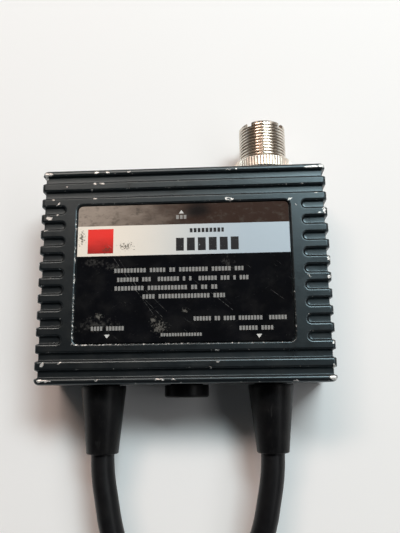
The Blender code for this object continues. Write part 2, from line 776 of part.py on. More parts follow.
def make_boots():
    """Moulded boots with a neck in the wall and a collar behind it, and the blank plug in the middle."""
    neck = WALL_HOLE_RADIUS - FIT
    collar_face = -(END_WALL + FIT)
    collar_back = collar_face - COLLAR_THICKNESS
    inner = [
        (neck, FIT),
        (neck, collar_face),
        (COLLAR_RADIUS, collar_face),
        (COLLAR_RADIUS, collar_back),
        (0, collar_back),
    ]
    tip = FIT + BOOT_LENGTH
    outer = [
        (0, tip),
        (BOOT_TIP_RADIUS - BOOT_TIP_CHAMFER, tip),
        (BOOT_TIP_RADIUS, tip - BOOT_TIP_CHAMFER),
        (BOOT_SHOULDER_RADIUS, FIT),
    ]
    for side, sign in SIDES.items():
        place = (sign * LEAD_PLACE_X, -HALF_LENGTH, PORT_HEIGHT)
        finish(turned(side + "_boot", outer + inner, 20, TO_LEADS, place), RUBBER)
    top = FIT + BLANK_LENGTH
    outer = [
        (0, top),
        (BOOT_SHOULDER_RADIUS - BLANK_CHAMFER, top),
        (BOOT_SHOULDER_RADIUS, top - BLANK_CHAMFER),
        (BOOT_SHOULDER_RADIUS, FIT),
    ]
    blank = turned("blank_plug", outer + inner, 20, TO_LEADS, (0, -HALF_LENGTH, PORT_HEIGHT))
    finish(blank, RUBBER)


def make_board():
    """Circuit board, notched round the corner bosses, with its four screws."""
    outline = rounded_outline(BOARD_X, BOARD_Y, BOARD_CORNER_RADIUS, 1)
    board = flat_piece("circuit_board", [outline], BOARD_BASE, BOARD_THICKNESS)
    low = BOARD_BASE - OVERCUT
    high = BOARD_TOP + OVERCUT
    corners = [(sx * BOSS_X, sy * BOSS_Y) for sx, sy in CORNERS]
    cut(board, cutter("board_notches", rods_mesh(corners, BOSS_RADIUS + 2 * FIT, low, high, 16)))
    holes = [(sx * PILLAR_X, sy * PILLAR_Y) for sx, sy in CORNERS]
    cut(board, cutter("board_holes", rods_mesh(holes, BOARD_SCREW_RADIUS + FIT, low, high, 8)))
    finish(board, BOARD_GREEN)

    head_top = BOARD_BASE - FIT
    profile = [
        (0, CAVITY_TOP - PILLAR_HEIGHT + BOARD_SCREW_REACH),
        (BOARD_SCREW_RADIUS, CAVITY_TOP - PILLAR_HEIGHT + BOARD_SCREW_REACH),
        (BOARD_SCREW_RADIUS, head_top),
        (BOARD_SCREW_HEAD_RADIUS, head_top),
        (BOARD_SCREW_HEAD_RADIUS, head_top - BOARD_SCREW_HEAD_HEIGHT / 2),
        (BOARD_SCREW_HEAD_RADIUS / 2, head_top - BOARD_SCREW_HEAD_HEIGHT),
        (0, head_top - BOARD_SCREW_HEAD_HEIGHT),
    ]
    for index, (x, y) in enumerate(holes):
        finish(turned("board_screw_%d" % (index + 1), profile, 8, place=(x, y, 0)), STEEL)


def coil(name, x, y, radius, turns):
    """An air-wound coil under the board: legs straight up to the board, turns along X."""
    height = BOARD_BASE - COIL_DROP - COIL_WIRE_RADIUS - radius
    count = int((turns + 0.5) * COIL_POINTS_PER_TURN)
    length = (turns + 0.5) * COIL_TURN_PITCH
    points = []
    for step in range(count + 1):
        turned_by = 2 * math.pi * step / COIL_POINTS_PER_TURN
        along = x - length / 2 + length * step / count
        points.append((along, y - radius * math.cos(turned_by), height - radius * math.sin(turned_by)))
    top = BOARD_BASE - FIT
    first = (points[0][0], points[0][1], top)
    last = (points[-1][0], points[-1][1], top)
    return finish(wire(name, [first] + points + [last], COIL_WIRE_RADIUS), COPPER)


def disc_capacitor(name, x, y):
    """A ceramic disc on two legs, standing under the board across the Y direction."""
    centre = BOARD_BASE - DISC_DROP - DISC_RADIUS
    profile = [
        (0, DISC_THICKNESS / 2),
        (DISC_RADIUS - DISC_THICKNESS / 3, DISC_THICKNESS / 2),
        (DISC_RADIUS, DISC_THICKNESS / 6),
        (DISC_RADIUS, -DISC_THICKNESS / 6),
        (DISC_RADIUS - DISC_THICKNESS / 3, -DISC_THICKNESS / 2),
        (0, -DISC_THICKNESS / 2),
    ]
    disc = turned(name, profile, 10)
    disc.data.transform(Matrix.Rotation(math.pi / 2, 4, "X"))
    disc.location = (x, y, centre)
    legs = [(x - DISC_LEG_SPREAD, y), (x + DISC_LEG_SPREAD, y)]
    join(disc, cutter(name + "_legs", rods_mesh(legs, DISC_LEG_RADIUS, centre, BOARD_BASE - FIT, 6)))
    return finish(disc, CERAMIC_BLUE)


def make_filters():
    """Low-pass parts on the left of the board and high-pass parts on the right."""
    for index in range(3):
        number = index + 1
        y = (index - 1) * LOW_COIL_SPACING
        coil("low_pass_coil_%d" % number, LOW_COIL_PLACE_X, y, LOW_COIL_RADIUS, LOW_COIL_TURNS)
        y = (index - 1) * DISC_SPACING
        disc_capacitor("low_pass_capacitor_%d" % number, LOW_DISC_PLACE_X, y)
        disc_capacitor("high_pass_capacitor_%d" % number, HIGH_DISC_PLACE_X, y)
    for index in range(2):
        y = (index - 0.5) * HIGH_COIL_SPACING
        coil("high_pass_coil_%d" % (index + 1), HIGH_COIL_PLACE_X, y, HIGH_COIL_RADIUS, HIGH_COIL_TURNS)


def make_feed_link():
    """Wire from the end of the socket's stem up to the board."""
    stem_end = HALF_LENGTH - END_WALL - FIT - SOCKET_FLANGE_THICKNESS - STEM_REACH
    start = Vector((SOCKET_PLACE_X, stem_end - FIT, PORT_HEIGHT))
    bend = start + Vector((0, -LINK_REACH / 2, 0))
    corner = start + Vector((0, -LINK_REACH, LINK_REACH / 3))
    top = Vector((SOCKET_PLACE_X, corner.y, BOARD_BASE - FIT))
    return finish(wire("feed_link", [start, bend, corner, top], LINK_RADIUS), COPPER)


def make_lead_ends():
    """Stripped ends of the leads inside the case, seated on the boots' collars."""
    start = -HALF_LENGTH + END_WALL + FIT + COLLAR_THICKNESS + FIT
    for side, sign in SIDES.items():
        x = sign * LEAD_PLACE_X
        core_end = start + CORE_LENGTH
        points = [(x, start, PORT_HEIGHT), (x, core_end, PORT_HEIGHT)]
        finish(wire(side + "_lead_core", points, CORE_RADIUS), WHITE_PLASTIC)
        tip = core_end + FIT
        bend = tip + CONDUCTOR_REACH / 2
        end = tip + CONDUCTOR_REACH
        rise = PORT_HEIGHT + CONDUCTOR_REACH / 3
        points = [(x, tip, PORT_HEIGHT), (x, bend, PORT_HEIGHT), (x, end, rise), (x, end, BOARD_BASE - FIT)]
        finish(wire(side + "_lead_conductor", points, CONDUCTOR_RADIUS), COPPER)
        tail = x - sign * BRAID_OFFSET
        end = start + BRAID_REACH
        points = [(tail, start, PORT_HEIGHT), (tail, start + BRAID_REACH / 2, PORT_HEIGHT)]
        points += [(tail, end, rise), (tail, end, BOARD_BASE - FIT)]
        finish(wire(side + "_lead_braid", points, BRAID_RADIUS), COPPER)


def smooth_route(route, spacing):
    """Points at an even spacing along a smooth curve through the route's own points."""
    route = [Vector(point) for point in route]
    knots = [2 * route[0] - route[1]] + route + [2 * route[-1] - route[-2]]
    dense = []
    for a, b, c, d in zip(knots, knots[1:], knots[2:], knots[3:]):
        for step in range(24):
            t = step / 24
            bend = (2 * a - 5 * b + 4 * c - d) * t**2 + (3 * b - a - 3 * c + d) * t**3
            dense.append(0.5 * (2 * b + (c - a) * t + bend))
    dense.append(route[-1])
    dense = np.array(dense)
    run = np.concatenate([[0], np.cumsum(np.linalg.norm(np.diff(dense, axis=0), axis=1))])
    evenly = np.linspace(CABLE_END_STRAIGHT, run[-1] - CABLE_END_STRAIGHT, round(run[-1] / spacing) + 1)
    stations = [0, *evenly, run[-1]]
    columns = [np.interp(stations, run, dense[:, axis]) for axis in range(3)]
    return list(zip(*columns))


def lead_route(side):
    """The lead's way from its boot to its plug. The left lead passes over the right one."""
    sign = SIDES[side]
    boot_tip = -HALF_LENGTH - FIT - BOOT_LENGTH - FIT
    start = (sign * LEAD_PLACE_X, boot_tip, PORT_HEIGHT)
    second = (sign * LEAD_PLACE_X, boot_tip - CABLE_STRAIGHT_AT_BOOT, PORT_HEIGHT)
    middle = {
        "left": [
            (-26.4, -61.3, 12.6),
            (-24.9, -70, 12.9),
            (-22.7, -80, 12.9),
            (-15.8, -100, 12.6),
            (-4.5, -120, 12.3),
            (8.0, -140, 11.6),
            (18.0, -162, 9.2),
            (24.5, -188, 6.2),
            (26.5, -214, 5.0),
            (25.5, -240, 6.6),
        ],
        "right": [
            (26.4, -61.3, 12.7),
            (24.9, -70, 12.8),
            (22.4, -80, 12.0),
            (14.6, -99, 8.2),
            (2.8, -118, 4.6),
            (-9.5, -138, 4.0),
            (-19.0, -160, 4.0),
            (-25.0, -186, 4.0),
            (-26.5, -212, 4.6),
            (-25.5, -239, 6.6),
        ],
    }[side]
    end_x = -sign * PLUG_PLACE_X
    before = (end_x, PLUG_PLACE_Y + CABLE_STRAIGHT_AT_PLUG, PLUG_HEIGHT)
    end = (end_x, PLUG_PLACE_Y + FIT, PLUG_HEIGHT)
    return [start, second] + [tuple(value * MM for value in point) for point in middle] + [before, end]


def make_cables():
    for side in SIDES:
        points = smooth_route(lead_route(side), CABLE_POINT_SPACING)
        finish(wire(side + "_cable", points, CABLE_RADIUS, 3), RUBBER)


def make_plug(side):
    """Plug on the end of a lead. Its coupling sleeve turns about the plug's axis."""
    place = (-SIDES[side] * PLUG_PLACE_X, PLUG_PLACE_Y, PLUG_HEIGHT)
    face = PLUG_BODY_LENGTH
    collar_base = face - PLUG_COLLAR_LENGTH
    floor = face - PLUG_BORE_DEPTH
    pin_rear = floor - PIN_SEAT_DEPTH
    pin_bore = PIN_RADIUS + FIT
    body = turned(
        side + "_plug_body",
        [
            (PLUG_COLLAR_RADIUS - PLUG_CHAMFER, face),
            (PLUG_COLLAR_RADIUS, face - PLUG_CHAMFER),
            (PLUG_COLLAR_RADIUS, collar_base),
            (PLUG_NECK_RADIUS, collar_base),
            (PLUG_NECK_RADIUS, PLUG_STEP_PLACE),
            (PLUG_REAR_RADIUS, PLUG_STEP_PLACE - PLUG_CHAMFER),
            (PLUG_REAR_RADIUS, 0),
            (0, 0),
            (0, pin_rear - FIT),
            (pin_bore, pin_rear - FIT),
            (pin_bore, floor),
            (PLUG_BORE_RADIUS, floor),
            (PLUG_BORE_RADIUS, face),
        ],
        20,
        TO_LEADS,
        place,
    )
    finish(body, NICKEL)

    profile = [
        (PLUG_BORE_RADIUS - FIT, face),
        (PLUG_BORE_RADIUS - FIT, floor + FIT),
        (pin_bore, floor + FIT),
        (pin_bore, face),
    ]
    finish(turned(side + "_plug_insulator", profile, 16, TO_LEADS, place), WHITE_PLASTIC)

    tip = face + PIN_REACH
    profile = [
        (0, tip),
        (PIN_RADIUS / 2, tip - PIN_RADIUS * 0.15),
        (PIN_RADIUS, tip - PIN_RADIUS),
        (PIN_RADIUS, pin_rear),
        (0, pin_rear),
    ]
    finish(turned(side + "_plug_pin", profile, 16, TO_LEADS, place), BRASS)

    lip_face = collar_base - FIT
    base = lip_face - COUPLING_LIP
    length = lip_face + PLUG_COLLAR_LENGTH + COUPLING_REACH - base
    neck = PLUG_NECK_RADIUS + FIT
    coupling = knurled_ring(
        side + "_coupling",
        COUPLING_RADIUS,
        COUPLING_TOOTH_DEPTH,
        COUPLING_TEETH,
        length,
        COUPLING_CHAMFER,
        neck,
    )
    inside = rods_mesh([(0, 0)], COUPLING_BORE_RADIUS, COUPLING_LIP, length + OVERCUT, 24)
    cut(coupling, cutter(side + "_coupling_inside", inside))
    coupling = baked(coupling)
    coupling.rotation_euler = TO_LEADS
    coupling.location = (place[0], PLUG_PLACE_Y - base, PLUG_HEIGHT)
    finish(coupling, NICKEL)


clear_scene()
PARTS = new_collection("rf_duplexer")
CUTTERS = new_collection("cutters")
SCRATCH = new_collection("scratch")
CUTTERS.hide_render = True

make_housing()
make_cover()
make_cover_screws()
make_label()
make_socket()
make_boots()
make_board()
make_filters()
make_feed_link()
make_lead_ends()
make_cables()
for side in SIDES:
    make_plug(side)
bpy.data.collections.remove(SCRATCH)
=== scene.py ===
"""The looks of an RF duplexer: a ribbed die-cast box with a threaded socket and two plug-ended leads.

Sizes are written in millimetres and times MM they are metres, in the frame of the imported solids.
"""

import functools
import math

import bmesh
import bpy
from mathutils import Matrix, Vector


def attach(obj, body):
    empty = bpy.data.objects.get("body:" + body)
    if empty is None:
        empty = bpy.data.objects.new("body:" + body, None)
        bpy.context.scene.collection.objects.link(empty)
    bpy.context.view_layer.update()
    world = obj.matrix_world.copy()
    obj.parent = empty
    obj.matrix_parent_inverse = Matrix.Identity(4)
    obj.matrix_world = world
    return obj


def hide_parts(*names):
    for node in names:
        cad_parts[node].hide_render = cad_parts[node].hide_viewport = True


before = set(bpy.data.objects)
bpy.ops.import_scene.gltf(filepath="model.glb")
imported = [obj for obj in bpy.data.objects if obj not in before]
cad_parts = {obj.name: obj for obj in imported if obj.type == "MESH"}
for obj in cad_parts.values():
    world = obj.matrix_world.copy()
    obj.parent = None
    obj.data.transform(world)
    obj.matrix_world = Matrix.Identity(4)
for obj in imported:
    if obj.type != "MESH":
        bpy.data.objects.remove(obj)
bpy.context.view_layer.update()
MM = 0.001


# Camera. It stands over the label, a little towards the leads, and looks almost straight down.
# Its place and lens were fitted to the case's corners, ribs and label in the photograph.
CAMERA_PLACE = (13.63, -35.53, 194.83)
CAMERA_TURN = (-12.27, -2.74, 1.30)
FOCAL_PIXELS = 556.97
FRAME_PIXELS = 533
SENSOR = 36.0

camera = bpy.data.objects.new("camera", bpy.data.cameras.new("camera"))
bpy.context.scene.collection.objects.link(camera)
camera.data.sensor_width = SENSOR
camera.data.lens = FOCAL_PIXELS * SENSOR / FRAME_PIXELS
turn_x, turn_y, turn_z = (math.radians(angle) for angle in CAMERA_TURN)
to_camera = Matrix.Rotation(turn_z, 3, "Z") @ Matrix.Rotation(turn_y, 3, "Y")
to_camera = to_camera @ Matrix.Rotation(turn_x, 3, "X")
camera.matrix_world = Matrix.Translation(Vector(CAMERA_PLACE) * MM) @ to_camera.transposed().to_4x4()
bpy.context.scene.camera = camera


# Leads. Two black coaxial cables, 7.4 mm over the jacket, leave the boots level with the ports, cross
# once beyond the picture's edge and lie down side by side. The jacket is extruded PVC, slightly dull.
CABLE_RADIUS = 3.7
CABLE_POINTS = 30
ROUTE_STEPS = 24
LEAD_ROUTES = {
    "left": [
        (-26.8, -54.0, 12.5), (-26.8, -57.35, 12.5), (-26.4, -61.3, 12.6), (-24.9, -70, 12.9),
        (-22.7, -80, 12.9), (-15.8, -100, 12.6), (-4.5, -120, 12.3), (8.0, -140, 11.6),
        (18.0, -162, 9.2), (24.5, -188, 6.2),
        (26.5, -214, 5.0), (25.5, -240, 6.6), (23.5, -262, 9.1), (23.5, -269.4, 9.1),
    ],
    "right": [
        (26.8, -54.0, 12.5), (26.8, -57.35, 12.5), (26.4, -61.3, 12.7), (24.9, -70, 12.8), (22.4, -80, 12.0),
        (14.6, -99, 8.2), (2.8, -118, 4.6), (-9.5, -138, 4.0), (-19.0, -160, 4.0), (-25.0, -186, 4.0),
        (-26.5, -212, 4.6), (-25.5, -239, 6.6), (-23.5, -262, 9.1), (-23.5, -269.4, 9.1),
    ],
}


def along_route(route, count):
    """Evenly spaced points on the smooth curve through a route's points."""
    route = [Vector(point) for point in route]
    knots = [2 * route[0] - route[1]] + route + [2 * route[-1] - route[-2]]
    dense = []
    for a, b, c, d in zip(knots, knots[1:], knots[2:], knots[3:]):
        for step in range(ROUTE_STEPS):
            t = step / ROUTE_STEPS
            square, cube = 2 * a - 5 * b + 4 * c - d, 3 * b - a - 3 * c + d
            dense.append(0.5 * (2 * b + (c - a) * t + square * t**2 + cube * t**3))
    dense.append(route[-1])
    run = [0.0]
    for here, there in zip(dense, dense[1:]):
        run.append(run[-1] + (there - here).length)
    points = []
    index = 0
    for step in range(count):
        target = run[-1] * step / (count - 1)
        while index < len(dense) - 2 and run[index + 1] < target:
            index += 1
        share = (target - run[index]) / (run[index + 1] - run[index])
        points.append(dense[index].lerp(dense[index + 1], share))
    return points


class Field:
    """A node's output: a value that varies over a surface. Arithmetic on it adds nodes to its tree."""

    def __init__(self, socket):
        self.socket = socket
        self.tree = socket.id_data

    def __add__(self, other):
        return calc("ADD", self, other)

    def __radd__(self, other):
        return calc("ADD", other, self)

    def __sub__(self, other):
        return calc("SUBTRACT", self, other)

    def __rsub__(self, other):
        return calc("SUBTRACT", other, self)

    def __mul__(self, other):
        return calc("MULTIPLY", self, other)

    def __truediv__(self, other):
        return calc("DIVIDE", self, other)

    def __abs__(self):
        return calc("ABSOLUTE", self)


def feed(made, inputs):
    """Sets a node's inputs to numbers, colours or fields."""
    for key, value in inputs.items():
        if isinstance(value, Field):
            value.tree.links.new(value.socket, made.inputs[key])
        else:
            made.inputs[key].default_value = value


def node(kind, inputs, output=0, tree=None, **settings):
    """Adds a shader node to the tree of the fields that feed it, and gives one of its outputs."""
    if tree is None:
        tree = next(value.tree for value in inputs.values() if isinstance(value, Field))
    made = tree.nodes.new(kind)
    for key, value in settings.items():
        setattr(made, key, value)
    feed(made, inputs)
    return Field(made.outputs[output])


def calc(operation, a, b=0.0, clamp=False):
    return node("ShaderNodeMath", {0: a, 1: b}, operation=operation, use_clamp=clamp)


def above(value, limit):
    return calc("GREATER_THAN", value, limit)


def below(value, limit):
    return calc("LESS_THAN", value, limit)


def most(*values):
    return functools.reduce(lambda a, b: calc("MAXIMUM", a, b), values)


def least(*values):
    return functools.reduce(lambda a, b: calc("MINIMUM", a, b), values)


def rise(value, low, high):
    """0 below low and 1 above high, or the reverse where high is the smaller."""
    inputs = {"Value": value, "From Min": low, "From Max": high}
    return node("ShaderNodeMapRange", inputs, interpolation_type="SMOOTHSTEP")


def speckle(place, scale, detail=3.0, roughness=0.55, output=0):
    inputs = {"Vector": place, "Scale": scale, "Detail": detail, "Roughness": roughness}
    return node("ShaderNodeTexNoise", inputs, output)


def vector(operation, a, b=(0, 0, 0), output=0):
    return node("ShaderNodeVectorMath", {0: a, 1: b}, output, operation=operation)


def stretched(place, scale):
    """Coordinates scaled by a different amount along each axis."""
    return vector("MULTIPLY", place, scale)


def split(place):
    """A vector's three coordinates."""
    return [Field(output) for output in node("ShaderNodeSeparateXYZ", {0: place}).socket.node.outputs]


def mixed(share, a, b):
    a, b = ((*c, 1.0) if isinstance(c, tuple) and len(c) == 3 else c for c in (a, b))
    return node("ShaderNodeMix", {0: share, 6: a, 7: b}, 2, data_type="RGBA")


def between(share, a, b):
    return node("ShaderNodeMix", {0: share, 2: a, 3: b}, data_type="FLOAT")


def new_look(name, **settings):
    """A material, its shader and the object's own coordinates in millimetres."""
    look = bpy.data.materials.new(name)
    look.use_nodes = True
    shader = look.node_tree.nodes["Principled BSDF"]
    for key, value in settings.items():
        shader.inputs[key.replace("_", " ").title().replace("Ior", "IOR")].default_value = value
    where = node("ShaderNodeTexCoord", {}, "Object", look.node_tree)
    return look, shader, stretched(where, (1 / MM, 1 / MM, 1 / MM))


def raised(height, distance, strength=1.0, normal=None):
    """A bump from a height, its distance in millimetres."""
    inputs = {"Height": height, "Distance": distance * MM, "Strength": strength}
    if normal is not None:
        inputs["Normal"] = normal
    return node("ShaderNodeBump", inputs)


def give(made, **fields):
    """Feeds a shader, or the end of a node group, by its inputs' names in lower case."""
    feed(made, {key.replace("_", " ").title(): field for key, field in fields.items()})


def wear(obj, look):
    """Puts one material on a piece, in place of any that it has."""
    obj.data.materials.clear()
    obj.data.materials.append(look)


def new_effect(name, gives, **takes):
    """A node group that takes a place and some numbers, with its inputs as fields and its end node."""
    group = bpy.data.node_groups.new(name, "ShaderNodeTree")
    group.interface.new_socket("Place", in_out="INPUT", socket_type="NodeSocketVector")
    for label, value in takes.items():
        group.interface.new_socket(label, in_out="INPUT", socket_type="NodeSocketFloat").default_value = value
    for label in gives:
        kind = "NodeSocketColor" if label == "Colour" else "NodeSocketFloat"
        group.interface.new_socket(label, in_out="OUTPUT", socket_type=kind)
    entry = group.nodes.new("NodeGroupInput")
    fields = {label: Field(entry.outputs[label]) for label in ("Place", *takes)}
    return group, fields, group.nodes.new("NodeGroupOutput")


def effect(group, place, **values):
    """Puts a node group in a material and gives its outputs by name."""
    made = place.tree.nodes.new("ShaderNodeGroup")
    made.node_tree = group
    feed(made, {"Place": place, **values})
    return {output.name: Field(output) for output in made.outputs}


# Dust settles on faces that look up, in fine grains and in a thin cloudy film.
dust, entry, leaving = new_effect("settled_dust", ["Mask"], Amount=0.5, Grain=3.0)
grains = rise(speckle(entry["Place"], entry["Grain"], 2.0), 0.66, 0.76)
film = rise(speckle(entry["Place"], 0.16, 4.0), 0.42, 0.75)
facing = rise(split(node("ShaderNodeNewGeometry", {}, "Normal", dust))[2], 0.1, 0.9)
give(leaving, mask=calc("MULTIPLY", (grains * 0.6 + film * 0.3) * facing, entry["Amount"], clamp=True))

jacket_look, shader, place = new_look("cable_jacket", specular_ior_level=0.2)
mottle = speckle(place, 0.5, 5.0)
colour = mixed(mottle, (0.0035, 0.0035, 0.004), (0.008, 0.008, 0.009))
lint = effect(dust, place, Amount=0.1, Grain=2.2)["Mask"]
give(
    shader,
    base_color=mixed(lint, colour, (0.11, 0.105, 0.10)),
    roughness=between(mottle, 0.32, 0.44),
    normal=raised(speckle(place, 2.6, 3.0), 0.03, 0.4),
)

cables = {}
for side, route in LEAD_ROUTES.items():
    curve = bpy.data.curves.new(side + "_lead", "CURVE")
    curve.dimensions = "3D"
    curve.bevel_depth = CABLE_RADIUS * MM
    curve.bevel_resolution = 6
    curve.resolution_u = 5
    curve.use_fill_caps = True
    spline = curve.splines.new("BEZIER")
    points = along_route(route, CABLE_POINTS)
    spline.bezier_points.add(len(points) - 1)
    for knot, point in zip(spline.bezier_points, points):
        knot.co = point * MM
        knot.handle_left_type = knot.handle_right_type = "AUTO"
    cables[side] = bpy.data.objects.new(side + "_lead", curve)
    bpy.context.scene.collection.objects.link(cables[side])
    wear(cables[side], jacket_look)
    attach(cables[side], "case")
    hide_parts(side + "_cable")


# Plugs on the leads' ends. Each has a nickel-plated brass body soldered to the braid through four
# holes, a pressed-in insulator, a hollow pin and a knurled coupling sleeve that turns on the body.
PLUG_PLACES = {"left": (23.5, -268.0, 9.1), "right": (-23.5, -268.0, 9.1)}
PLUG_FACE = 27.5
PLUG_COLLAR = 23.9
SLEEVE_BASE = 20.4
SLEEVE_MOUTH = 39.2
SLEEVE_RADIUS = 9.1
SLEEVE_TEETH = 32
THREAD_PITCH = 25.4 / 24
TOWARDS_LEADS = math.pi / 2
TOWARDS_SOCKET = -math.pi / 2


def only(piece):
    """Selects one object alone and makes it active."""
    if bpy.context.mode != "OBJECT":
        bpy.ops.object.mode_set(mode="OBJECT")
    bpy.ops.object.select_all(action="DESELECT")
    piece.select_set(True)
    bpy.context.view_layer.objects.active = piece


def softened(corners, steps=3):
    """A closed outline from (radius, height, fillet) corners, each rounded by its fillet."""
    outline = []
    for index, (radius, height, fillet) in enumerate(corners):
        here = Vector((radius, height))
        if fillet == 0:
            outline.append((radius, height))
            continue
        before = (Vector(corners[index - 1][:2]) - here).normalized()
        after = (Vector(corners[(index + 1) % len(corners)][:2]) - here).normalized()
        half = before.angle(after) / 2
        centre = here + (before + after).normalized() * fillet / math.sin(half)
        first = here + before * fillet / math.tan(half) - centre
        sweep = first.angle_signed(here + after * fillet / math.tan(half) - centre)
        for step in range(steps + 1):
            spoke = first.copy()
            spoke.rotate(Matrix.Rotation(-sweep * step / steps, 2))
            outline.append(tuple(centre + spoke))
    return outline


def rows(radius, top, base, count):
    """Outline points down a straight wall, close enough to carry a thread."""
    return [(radius, top + (base - top) * step / count, 0) for step in range(count + 1)]


def turned(name, outline, steps):
    """Spins a closed outline about Z, as on a lathe. It stands at the origin."""
    if bpy.context.mode != "OBJECT":
        bpy.ops.object.mode_set(mode="OBJECT")
    bpy.ops.object.select_all(action="DESELECT")
    bpy.ops.mesh.primitive_plane_add(size=MM)
    piece = bpy.context.object
    piece.name = piece.data.name = name
    bpy.ops.object.mode_set(mode="EDIT")
    bpy.ops.mesh.select_mode(type="VERT")
    bpy.ops.mesh.select_all(action="SELECT")
    bpy.ops.mesh.merge(type="CENTER")
    bpy.ops.transform.translate(value=(outline[0][0] * MM, 0, outline[0][1] * MM))
    on_axis = outline[0][0] == 0 and outline[-1][0] == 0
    stops = outline[1:] + ([] if on_axis else outline[:1])
    for here, there in zip(outline, stops):
        step = ((there[0] - here[0]) * MM, 0, (there[1] - here[1]) * MM)
        bpy.ops.mesh.extrude_region_move(TRANSFORM_OT_translate={"value": step})
    bpy.ops.mesh.select_all(action="SELECT")
    bpy.ops.mesh.spin(steps=steps, angle=math.tau, center=(0, 0, 0), axis=(0, 0, 1))
    tidy_edit()
    return piece


def tidy_edit():
    """Ends an edit: doubles merged, faces outward, object mode."""
    bpy.ops.mesh.select_all(action="SELECT")
    bpy.ops.mesh.remove_doubles(threshold=0.002 * MM)
    bpy.ops.mesh.normals_make_consistent(inside=False)
    bpy.ops.object.mode_set(mode="OBJECT")


def wave(phase):
    """A thread's ridge round a turn: 0 at the root and 1 at the crest, which is the wider of the two."""
    flank = min(1.0, (0.5 - abs(phase % 1.0 - 0.5)) / 0.34)
    return flank * flank * (3 - 2 * flank)


def cut_thread(piece, radius, depth, top, base, fade=1.0):
    """Sinks a helical groove into a wall of the given radius between two heights."""
    for vert in piece.data.vertices:
        x, y, z = vert.co / MM
        reach = math.hypot(x, y)
        if abs(reach - radius) > 0.02 or not base <= z <= top:
            continue
        ends = min(1.0, (top - z) / fade, (z - base) / fade)
        ridge = wave(z / THREAD_PITCH - math.atan2(y, x) / math.tau)
        change = depth * (ridge - 1) * ends
        vert.co.x *= (reach + change) / reach
        vert.co.y *= (reach + change) / reach


def cut_teeth(piece, radius, depth, teeth, low, high, fade=0.4, narrow=3.2):
    """Presses straight knurling into the outer wall of a turned ring."""
    for vert in piece.data.vertices:
        x, y, z = vert.co / MM
        reach = math.hypot(x, y)
        if reach < radius - 0.25:
            continue
        ends = max(0.0, min(1.0, (z - low) / fade, (high - z) / fade))
        phase = (math.atan2(y, x) / math.tau * teeth) % 1.0
        groove = max(0.0, 1 - abs(phase - 0.5) * narrow)
        vert.co.x *= (reach - depth * groove * ends) / reach
        vert.co.y *= (reach - depth * groove * ends) / reach


def carve(piece, tool, operation="DIFFERENCE"):
    """Cuts a piece with a tool, which is used up."""
    only(piece)
    step = piece.modifiers.new("cut", "BOOLEAN")
    step.operation = operation
    step.solver = "EXACT"
    step.object = tool
    bpy.ops.object.modifier_apply(modifier=step.name)
    bpy.data.objects.remove(tool)


def stand(piece, tilt, place):
    """Tips a finished turned piece on its side and sets it in its place."""
    only(piece)
    piece.rotation_euler = (tilt, 0, 0)
    piece.location = Vector(place) * MM
    bpy.ops.object.transform_apply(location=True, rotation=True, scale=True)


def smooth(piece, angle=32):
    only(piece)
    bpy.ops.object.shade_smooth_by_angle(angle=math.radians(angle))


def rod(radius, low, high, place=(0, 0), sides=24):
    """An upright cylinder, used as a tool."""
    bpy.ops.object.select_all(action="DESELECT")
    bpy.ops.mesh.primitive_cylinder_add(
        vertices=sides, radius=radius * MM, depth=(high - low) * MM,
        location=(place[0] * MM, place[1] * MM, (low + high) / 2 * MM),
    )
    bpy.ops.object.transform_apply(location=True, rotation=True, scale=True)
    return bpy.context.object


def block(low, high):
    """A rectangular block between two corners."""
    bpy.ops.object.select_all(action="DESELECT")
    middle = [(a + b) / 2 * MM for a, b in zip(low, high)]
    bpy.ops.mesh.primitive_cube_add(size=1, location=middle, scale=[(b - a) * MM for a, b in zip(low, high)])
    bpy.ops.object.transform_apply(location=True, rotation=True, scale=True)
    return bpy.context.object


# Nickel plating over brass: bright on crests, and dull and brownish in patches of tarnish.
plating, entry, leaving = new_effect("plating", ["Colour", "Roughness", "Height"], Tarnish=0.3, Scratch=0.4)
broad = speckle(entry["Place"], 0.35, 4.0)
fine = speckle(entry["Place"], 3.0, 4.0, 0.65)
stain = rise(broad, 0.45, 0.75) * entry["Tarnish"]
bright = mixed(fine, (0.70, 0.64, 0.56), (0.80, 0.75, 0.67))
hair = speckle(stretched(entry["Place"], (7.0, 0.7, 7.0)), 1.0, 3.0, 0.7)
give(
    leaving,
    colour=mixed(stain, bright, (0.30, 0.22, 0.14)),
    roughness=fine * 0.10 + stain * 0.35 + 0.10,
    height=hair * entry["Scratch"],
)

nickel_look, shader, place = new_look("nickel_plate", metallic=1.0)
plate = effect(plating, place, Tarnish=0.25, Scratch=0.5)
give(
    shader,
    base_color=plate["Colour"],
    roughness=plate["Roughness"],
    normal=raised(plate["Height"], 0.003, 0.2),
)

brass_look, shader, place = new_look("contact_brass", metallic=1.0)
plate = effect(plating, place, Tarnish=0.5, Scratch=0.6)
brass = mixed(speckle(place, 0.8, 4.0), (0.62, 0.44, 0.20), (0.76, 0.58, 0.30))
give(
    shader,
    base_color=mixed(0.25, brass, plate["Colour"]),
    roughness=plate["Roughness"] + 0.06,
    normal=raised(plate["Height"], 0.02, 0.4),
)

insulator_look, shader, place = new_look("insulator", roughness=0.45, subsurface_weight=0.05)
cloud = speckle(place, 0.6, 4.0)
specks = rise(speckle(place, 4.0, 2.0), 0.70, 0.78)
cream = mixed(cloud, (0.62, 0.60, 0.52), (0.74, 0.72, 0.66))
give(
    shader,
    base_color=mixed(specks * 0.5, cream, (0.25, 0.21, 0.16)),
    roughness=between(cloud, 0.38, 0.55),
    normal=raised(speckle(place, 3.0), 0.03, 0.4),
)

